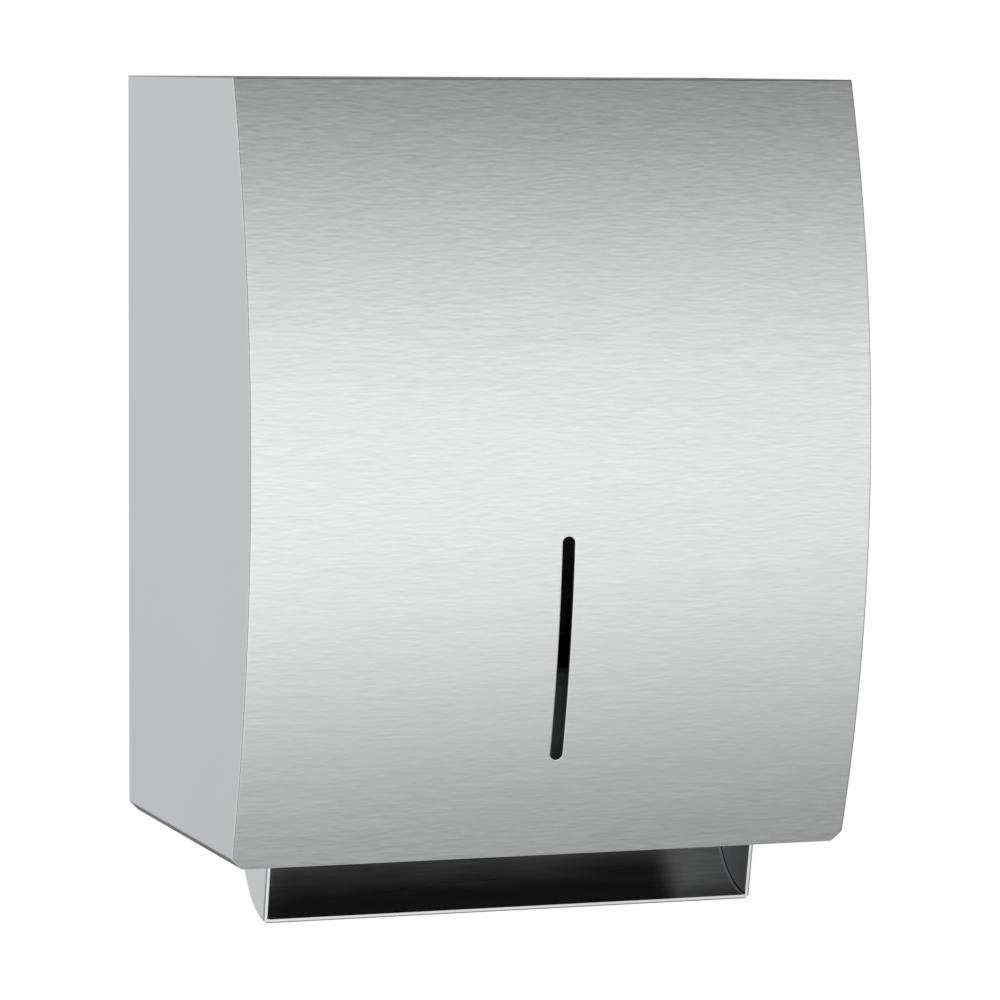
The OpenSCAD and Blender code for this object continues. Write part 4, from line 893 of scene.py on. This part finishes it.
def circuit_board(colours):
    """Circuit board: solder mask with raised tracks in a staggered grid and small tinned pads."""
    finish = Finish("circuit_board", roughness=0.4)
    x, _, z = finish.split(finish.place)
    flat = finish.add("ShaderNodeCombineXYZ", {"X": x, "Y": z}).outputs["Vector"]
    track = finish.add("ShaderNodeTexBrick", {
        "Vector": flat, "Scale": 1.0, "Mortar Size": 0.0004, "Mortar Smooth": 0.1, "Brick Width": 0.011,
        "Row Height": 0.0038}).outputs["Fac"]
    spot = finish.cells(0.0055, randomness=0.6).outputs["Distance"]
    pad = finish.span(spot, 0.20, 0.16)
    light = [channel * 1.9 for channel in colours.board]
    mask = finish.mix(track, colours.board, light)
    finish.feed("Base Color", finish.mix(pad, mask, colours.zinc))
    finish.feed("Metallic", pad)
    finish.feed("Roughness", finish.span(pad, 0.0, 1.0, 0.42, 0.28))
    finish.relief(finish.sum("MAXIMUM", track, pad), 0.00008, 0.7)
    return finish.material


def clear_lens(name, tint, transmission):
    """Tinted clear plastic with faint polishing haze."""
    finish = Finish(name)
    finish.shader.inputs["Transmission Weight"].default_value = transmission
    finish.shader.inputs["IOR"].default_value = 1.49
    haze = finish.even_grain(0.002)
    finish.feed("Base Color", finish.tone(haze, tint, 0.12))
    finish.gloss(haze, 0.06, 0.14)
    return finish.material


def all_finishes(colours):
    """Finish of each of the record's material slots."""
    return {
        "cover_steel": front_steel(colours),
        "side_steel": side_steel(colours),
        "chute_steel": strip_steel(colours),
        "plated_steel": zinc_plate(colours),
        "motor_can": motor_can(colours),
        "lock_brass": turned_brass(colours),
        "black_plastic": moulded("black_plastic", colours.dark_plastic_and_shade, 0.52),
        "grey_plastic": moulded("grey_plastic", colours.grey_plastic, 0.48),
        "white_plastic": moulded("white_plastic", colours.white_plastic, 0.42, depth=0.00003),
        "tyre_rubber": ribbed_rubber(colours),
        "cell_wrap": cell_wrap(colours),
        "circuit_board": circuit_board(colours),
        "sensor_window": clear_lens("sensor_window", colours.lens, 0.35),
        "lamp_lens": clear_lens("lamp_lens", colours.lamp, 0.5),
    }


# Stage

FLOOR_POINTS = 9


def front_light(graph, stage, x, z):
    """Light in front: a level band that falls off towards the ceiling and the ground, leans towards the
    left high up and low down, and is weaker far left."""
    upper = graph.ease(z, (0.0, 0.66), stage.band, stage.ceiling)
    upper = graph.sum("MULTIPLY", upper, graph.ease(z, (0.62, 0.95), 1.0, 0.2))
    lower = graph.ease(z, (-0.18, -0.80), stage.band, stage.ground)
    level = graph.sum("ADD", upper, graph.sum("SUBTRACT", lower, stage.band))
    low_lean = graph.span(z, -0.1, -0.6, 0.95, 3.3)
    high_lean = graph.span(z, 0.1, 0.5, 0.0, 1.3)
    lean = graph.sum("ADD", low_lean, high_lean)
    leftward = graph.sum("MINIMUM", graph.sum("SUBTRACT", 0.32, x), 0.16)
    front = graph.sum("MULTIPLY", level, graph.sum("MULTIPLY_ADD", lean, leftward, 1.0))
    return graph.sum("MULTIPLY", front, graph.ease(x, (-0.6, -0.1), 0.5, 1.0))


def rear_light(graph, stage, z):
    """Light behind: white, weaker high up, where a flag stands, and towards the ground."""
    high_share, low_share = 0.36, 0.64
    high = graph.ease(z, (0.25, 0.8), stage.backdrop, high_share * stage.backdrop)
    return graph.sum("MULTIPLY", high, graph.span(z, -0.6, 0.0, low_share, 1.0))


def direction_world(stage):
    """World by direction: the light in front goes over into the light behind, with dark flags at both
    sides. Camera rays see plain white."""
    world = bpy.data.worlds.new("studio")
    world.use_nodes = True
    graph = Graph(world.node_tree)
    graph.tree.nodes.clear()
    x, y, z = graph.split(graph.add("ShaderNodeTexCoord").outputs["Generated"])
    front = front_light(graph, stage, x, z)
    behind = rear_light(graph, stage, z)
    rear_share = graph.ease(y, (-0.1, 0.3))
    light = graph.sum("MULTIPLY_ADD", graph.sum("SUBTRACT", behind, front), rear_share, front)
    flags = graph.ease(graph.sum("ABSOLUTE", x), (0.7, 0.95), 1.0, stage.flags)
    light = graph.sum("MULTIPLY", light, flags)
    seen = graph.add("ShaderNodeLightPath").outputs["Is Camera Ray"]
    unseen = graph.sum("SUBTRACT", 1.0, seen)
    shown = graph.sum("MAXIMUM", graph.sum("MULTIPLY", light, unseen), seen)
    background = graph.add("ShaderNodeBackground", {"Color": (1.0, 1.0, 1.0, 1.0), "Strength": shown})
    graph.add("ShaderNodeOutputWorld", {"Surface": background.outputs["Background"]})
    return world


def soft_lamp(stage):
    """Wide square lamp above the front that lights the matt surfaces; polished ones mirror the world."""
    data = bpy.data.lights.new("soft_lamp", "AREA")
    data.size = stage.lamp_size
    data.energy = stage.lamp_power
    lamp = bpy.data.objects.new("soft_lamp", data)
    lamp.location = stage.lamp_place
    lamp.rotation_euler = Vector(stage.lamp_place).to_track_quat("Z", "Y").to_euler()
    lamp.visible_glossy = False
    bpy.context.scene.collection.objects.link(lamp)


def pale_floor(stage):
    """Plain floor: a square grid of points far below, with a faint fine grain."""
    side = np.linspace(-stage.floor_half, stage.floor_half, FLOOR_POINTS)
    x, y = np.meshgrid(side, side)
    points = np.stack([x, y, np.full_like(x, stage.floor)], axis=-1).reshape(-1, 3)
    mesh = bpy.data.meshes.new("floor")
    mesh.from_pydata(points.tolist(), [], quad_grid(FLOOR_POINTS, FLOOR_POINTS).tolist())
    finish = Finish("pale_floor", roughness=0.9)
    grain = finish.even_grain(0.02, detail=3.0)
    finish.feed("Base Color", finish.tone(grain, stage.floor_colour, 0.01))
    mesh.materials.append(finish.material)
    floor = bpy.data.objects.new("floor", mesh)
    bpy.context.scene.collection.objects.link(floor)


def photo_camera(stage):
    """Camera at the photograph's viewing angle: yaw to the right, pitch up, then roll about its axis."""
    yaw, pitch, roll = stage.yaw, stage.pitch, stage.roll
    forward = Vector((math.sin(yaw) * math.cos(pitch), math.cos(yaw) * math.cos(pitch), math.sin(pitch)))
    right = Vector((math.cos(yaw), -math.sin(yaw), 0.0))
    up = right.cross(forward)
    turned = right * math.cos(roll) + up * math.sin(roll)
    upright = up * math.cos(roll) - right * math.sin(roll)
    data = bpy.data.cameras.new("photo_camera")
    data.sensor_width = SENSOR_WIDTH
    data.lens = stage.lens
    camera = bpy.data.objects.new("photo_camera", data)
    bpy.context.scene.collection.objects.link(camera)
    turn = Matrix((turned, upright, -forward)).transposed()
    camera.matrix_world = Matrix.Translation(stage.camera) @ turn.to_4x4()
    bpy.context.scene.camera = camera


# Operators

class DISPENSER_OT_finishes(bpy.types.Operator):
    """Gives every CAD node the finish of its material slot"""

    bl_idname = "dispenser.finishes"
    bl_label = "Finishes"

    def execute(self, context):
        finishes = all_finishes(context.scene.dispenser_finish)
        for subpart in RECORD["subparts"]:
            mesh = NODES[subpart["node"]].data
            mesh.materials.clear()
            mesh.materials.append(finishes[subpart["material_slot"]])
        pan = NODES["base_pan"].data
        pan.materials[0] = moulded("pan_plastic", context.scene.dispenser_finish.pan_plastic, 0.5)
        return {"FINISHED"}


class DISPENSER_OT_front(bpy.types.Operator):
    """Makes the cover's bowed front sheet with its level slot and lower return"""

    bl_idname = "dispenser.front"
    bl_label = "Front sheet"

    def execute(self, context):
        sizes = context.scene.dispenser_cover
        steel = bpy.data.materials["front_brushed_steel"]
        points, quads = join_shapes([front_sheet(sizes), front_return(sizes)])
        make_piece("front_sheet", points, quads, "cover", ["front_panel"], steel)
        return {"FINISHED"}


class DISPENSER_OT_sides(bpy.types.Operator):
    """Makes the two bent side sheets, each with its half of the fold behind the top"""

    bl_idname = "dispenser.sides"
    bl_label = "Side sheets"

    def execute(self, context):
        sizes = context.scene.dispenser_cover
        satin = bpy.data.materials["side_satin_steel"]
        for side, word in ((-1, "left"), (1, "right")):
            points, quads = join_shapes([side_sheet(sizes, side), rear_fold(sizes, side)])
            make_piece(word + "_side_sheet", points, quads, "cover", [word + "_side_panel"],
                       satin)
        return {"FINISHED"}


class DISPENSER_OT_scoop(bpy.types.Operator):
    """Makes the folded scoop under the cover and its screw tabs"""

    bl_idname = "dispenser.scoop"
    bl_label = "Scoop"

    def execute(self, context):
        sizes = context.scene.dispenser_scoop
        steel = scoop_steel(context.scene.dispenser_finish)
        points, quads = join_shapes([scoop_sheet(sizes), scoop_tab(sizes, -1), scoop_tab(sizes, 1)])
        piece = make_piece("scoop_sheet", points, quads, "chassis", ["paper_chute"], steel)
        round_edges(piece, sizes.edge)
        return {"FINISHED"}


class DISPENSER_OT_screws(bpy.types.Operator):
    """Makes the cross-recessed heads of the frame and scoop screws"""

    bl_idname = "dispenser.screws"
    bl_label = "Screws"

    def execute(self, context):
        sizes = context.scene.dispenser_screws
        zinc = bpy.data.materials["zinc_plate"]
        for node, (count, axis) in SCREW_ROWS.items():
            out = np.array(axis)
            low, high = solid_boxes(node, count)
            tips = np.where(out < 0, low, (low + high) / 2)
            heads = [screw_head(sizes, tip - out * sizes.height, out) for tip in tips]
            points, quads = join_shapes(heads)
            make_piece(node.replace("screws", "screw_heads"), points, quads, "chassis", [node],
                       zinc)
        return {"FINISHED"}


class DISPENSER_OT_stage(bpy.types.Operator):
    """Sets up the camera, the pale floor and the studio light"""

    bl_idname = "dispenser.stage"
    bl_label = "Stage"

    def execute(self, context):
        stage = context.scene.dispenser_stage
        context.scene.world = direction_world(stage)
        context.scene.view_settings.view_transform = "Standard"
        soft_lamp(stage)
        pale_floor(stage)
        photo_camera(stage)
        return {"FINISHED"}


class DISPENSER_PT_panel(bpy.types.Panel):
    """Lists the steps that build the dispenser"""

    bl_idname = "DISPENSER_PT_panel"
    bl_label = "Towel dispenser"
    bl_space_type = "VIEW_3D"
    bl_region_type = "UI"
    bl_category = "Dispenser"

    def draw(self, context):
        for operator in OPERATORS:
            self.layout.operator(operator.bl_idname)


GROUPS = {
    "dispenser_cover": DispenserCover,
    "dispenser_scoop": DispenserScoop,
    "dispenser_screws": DispenserScrews,
    "dispenser_finish": DispenserFinish,
    "dispenser_stage": DispenserStage,
}
OPERATORS = (DISPENSER_OT_stage, DISPENSER_OT_finishes, DISPENSER_OT_front, DISPENSER_OT_sides,
             DISPENSER_OT_scoop, DISPENSER_OT_screws)


def register():
    """Registers the property groups, operators and panel."""
    for name, group in GROUPS.items():
        bpy.utils.register_class(group)
        setattr(bpy.types.Scene, name, PointerProperty(type=group))
    for operator in OPERATORS:
        bpy.utils.register_class(operator)
    bpy.utils.register_class(DISPENSER_PT_panel)


def unregister():
    """Takes back what register added."""
    bpy.utils.unregister_class(DISPENSER_PT_panel)
    for operator in reversed(OPERATORS):
        bpy.utils.unregister_class(operator)
    for name, group in reversed(GROUPS.items()):
        delattr(bpy.types.Scene, name)
        bpy.utils.unregister_class(group)


def main():
    """Builds the dispenser step by step."""
    register()
    bpy.ops.dispenser.stage()
    bpy.ops.dispenser.finishes()
    bpy.ops.dispenser.front()
    bpy.ops.dispenser.sides()
    bpy.ops.dispenser.scoop()
    bpy.ops.dispenser.screws()


if __name__ == "__main__":
    main()
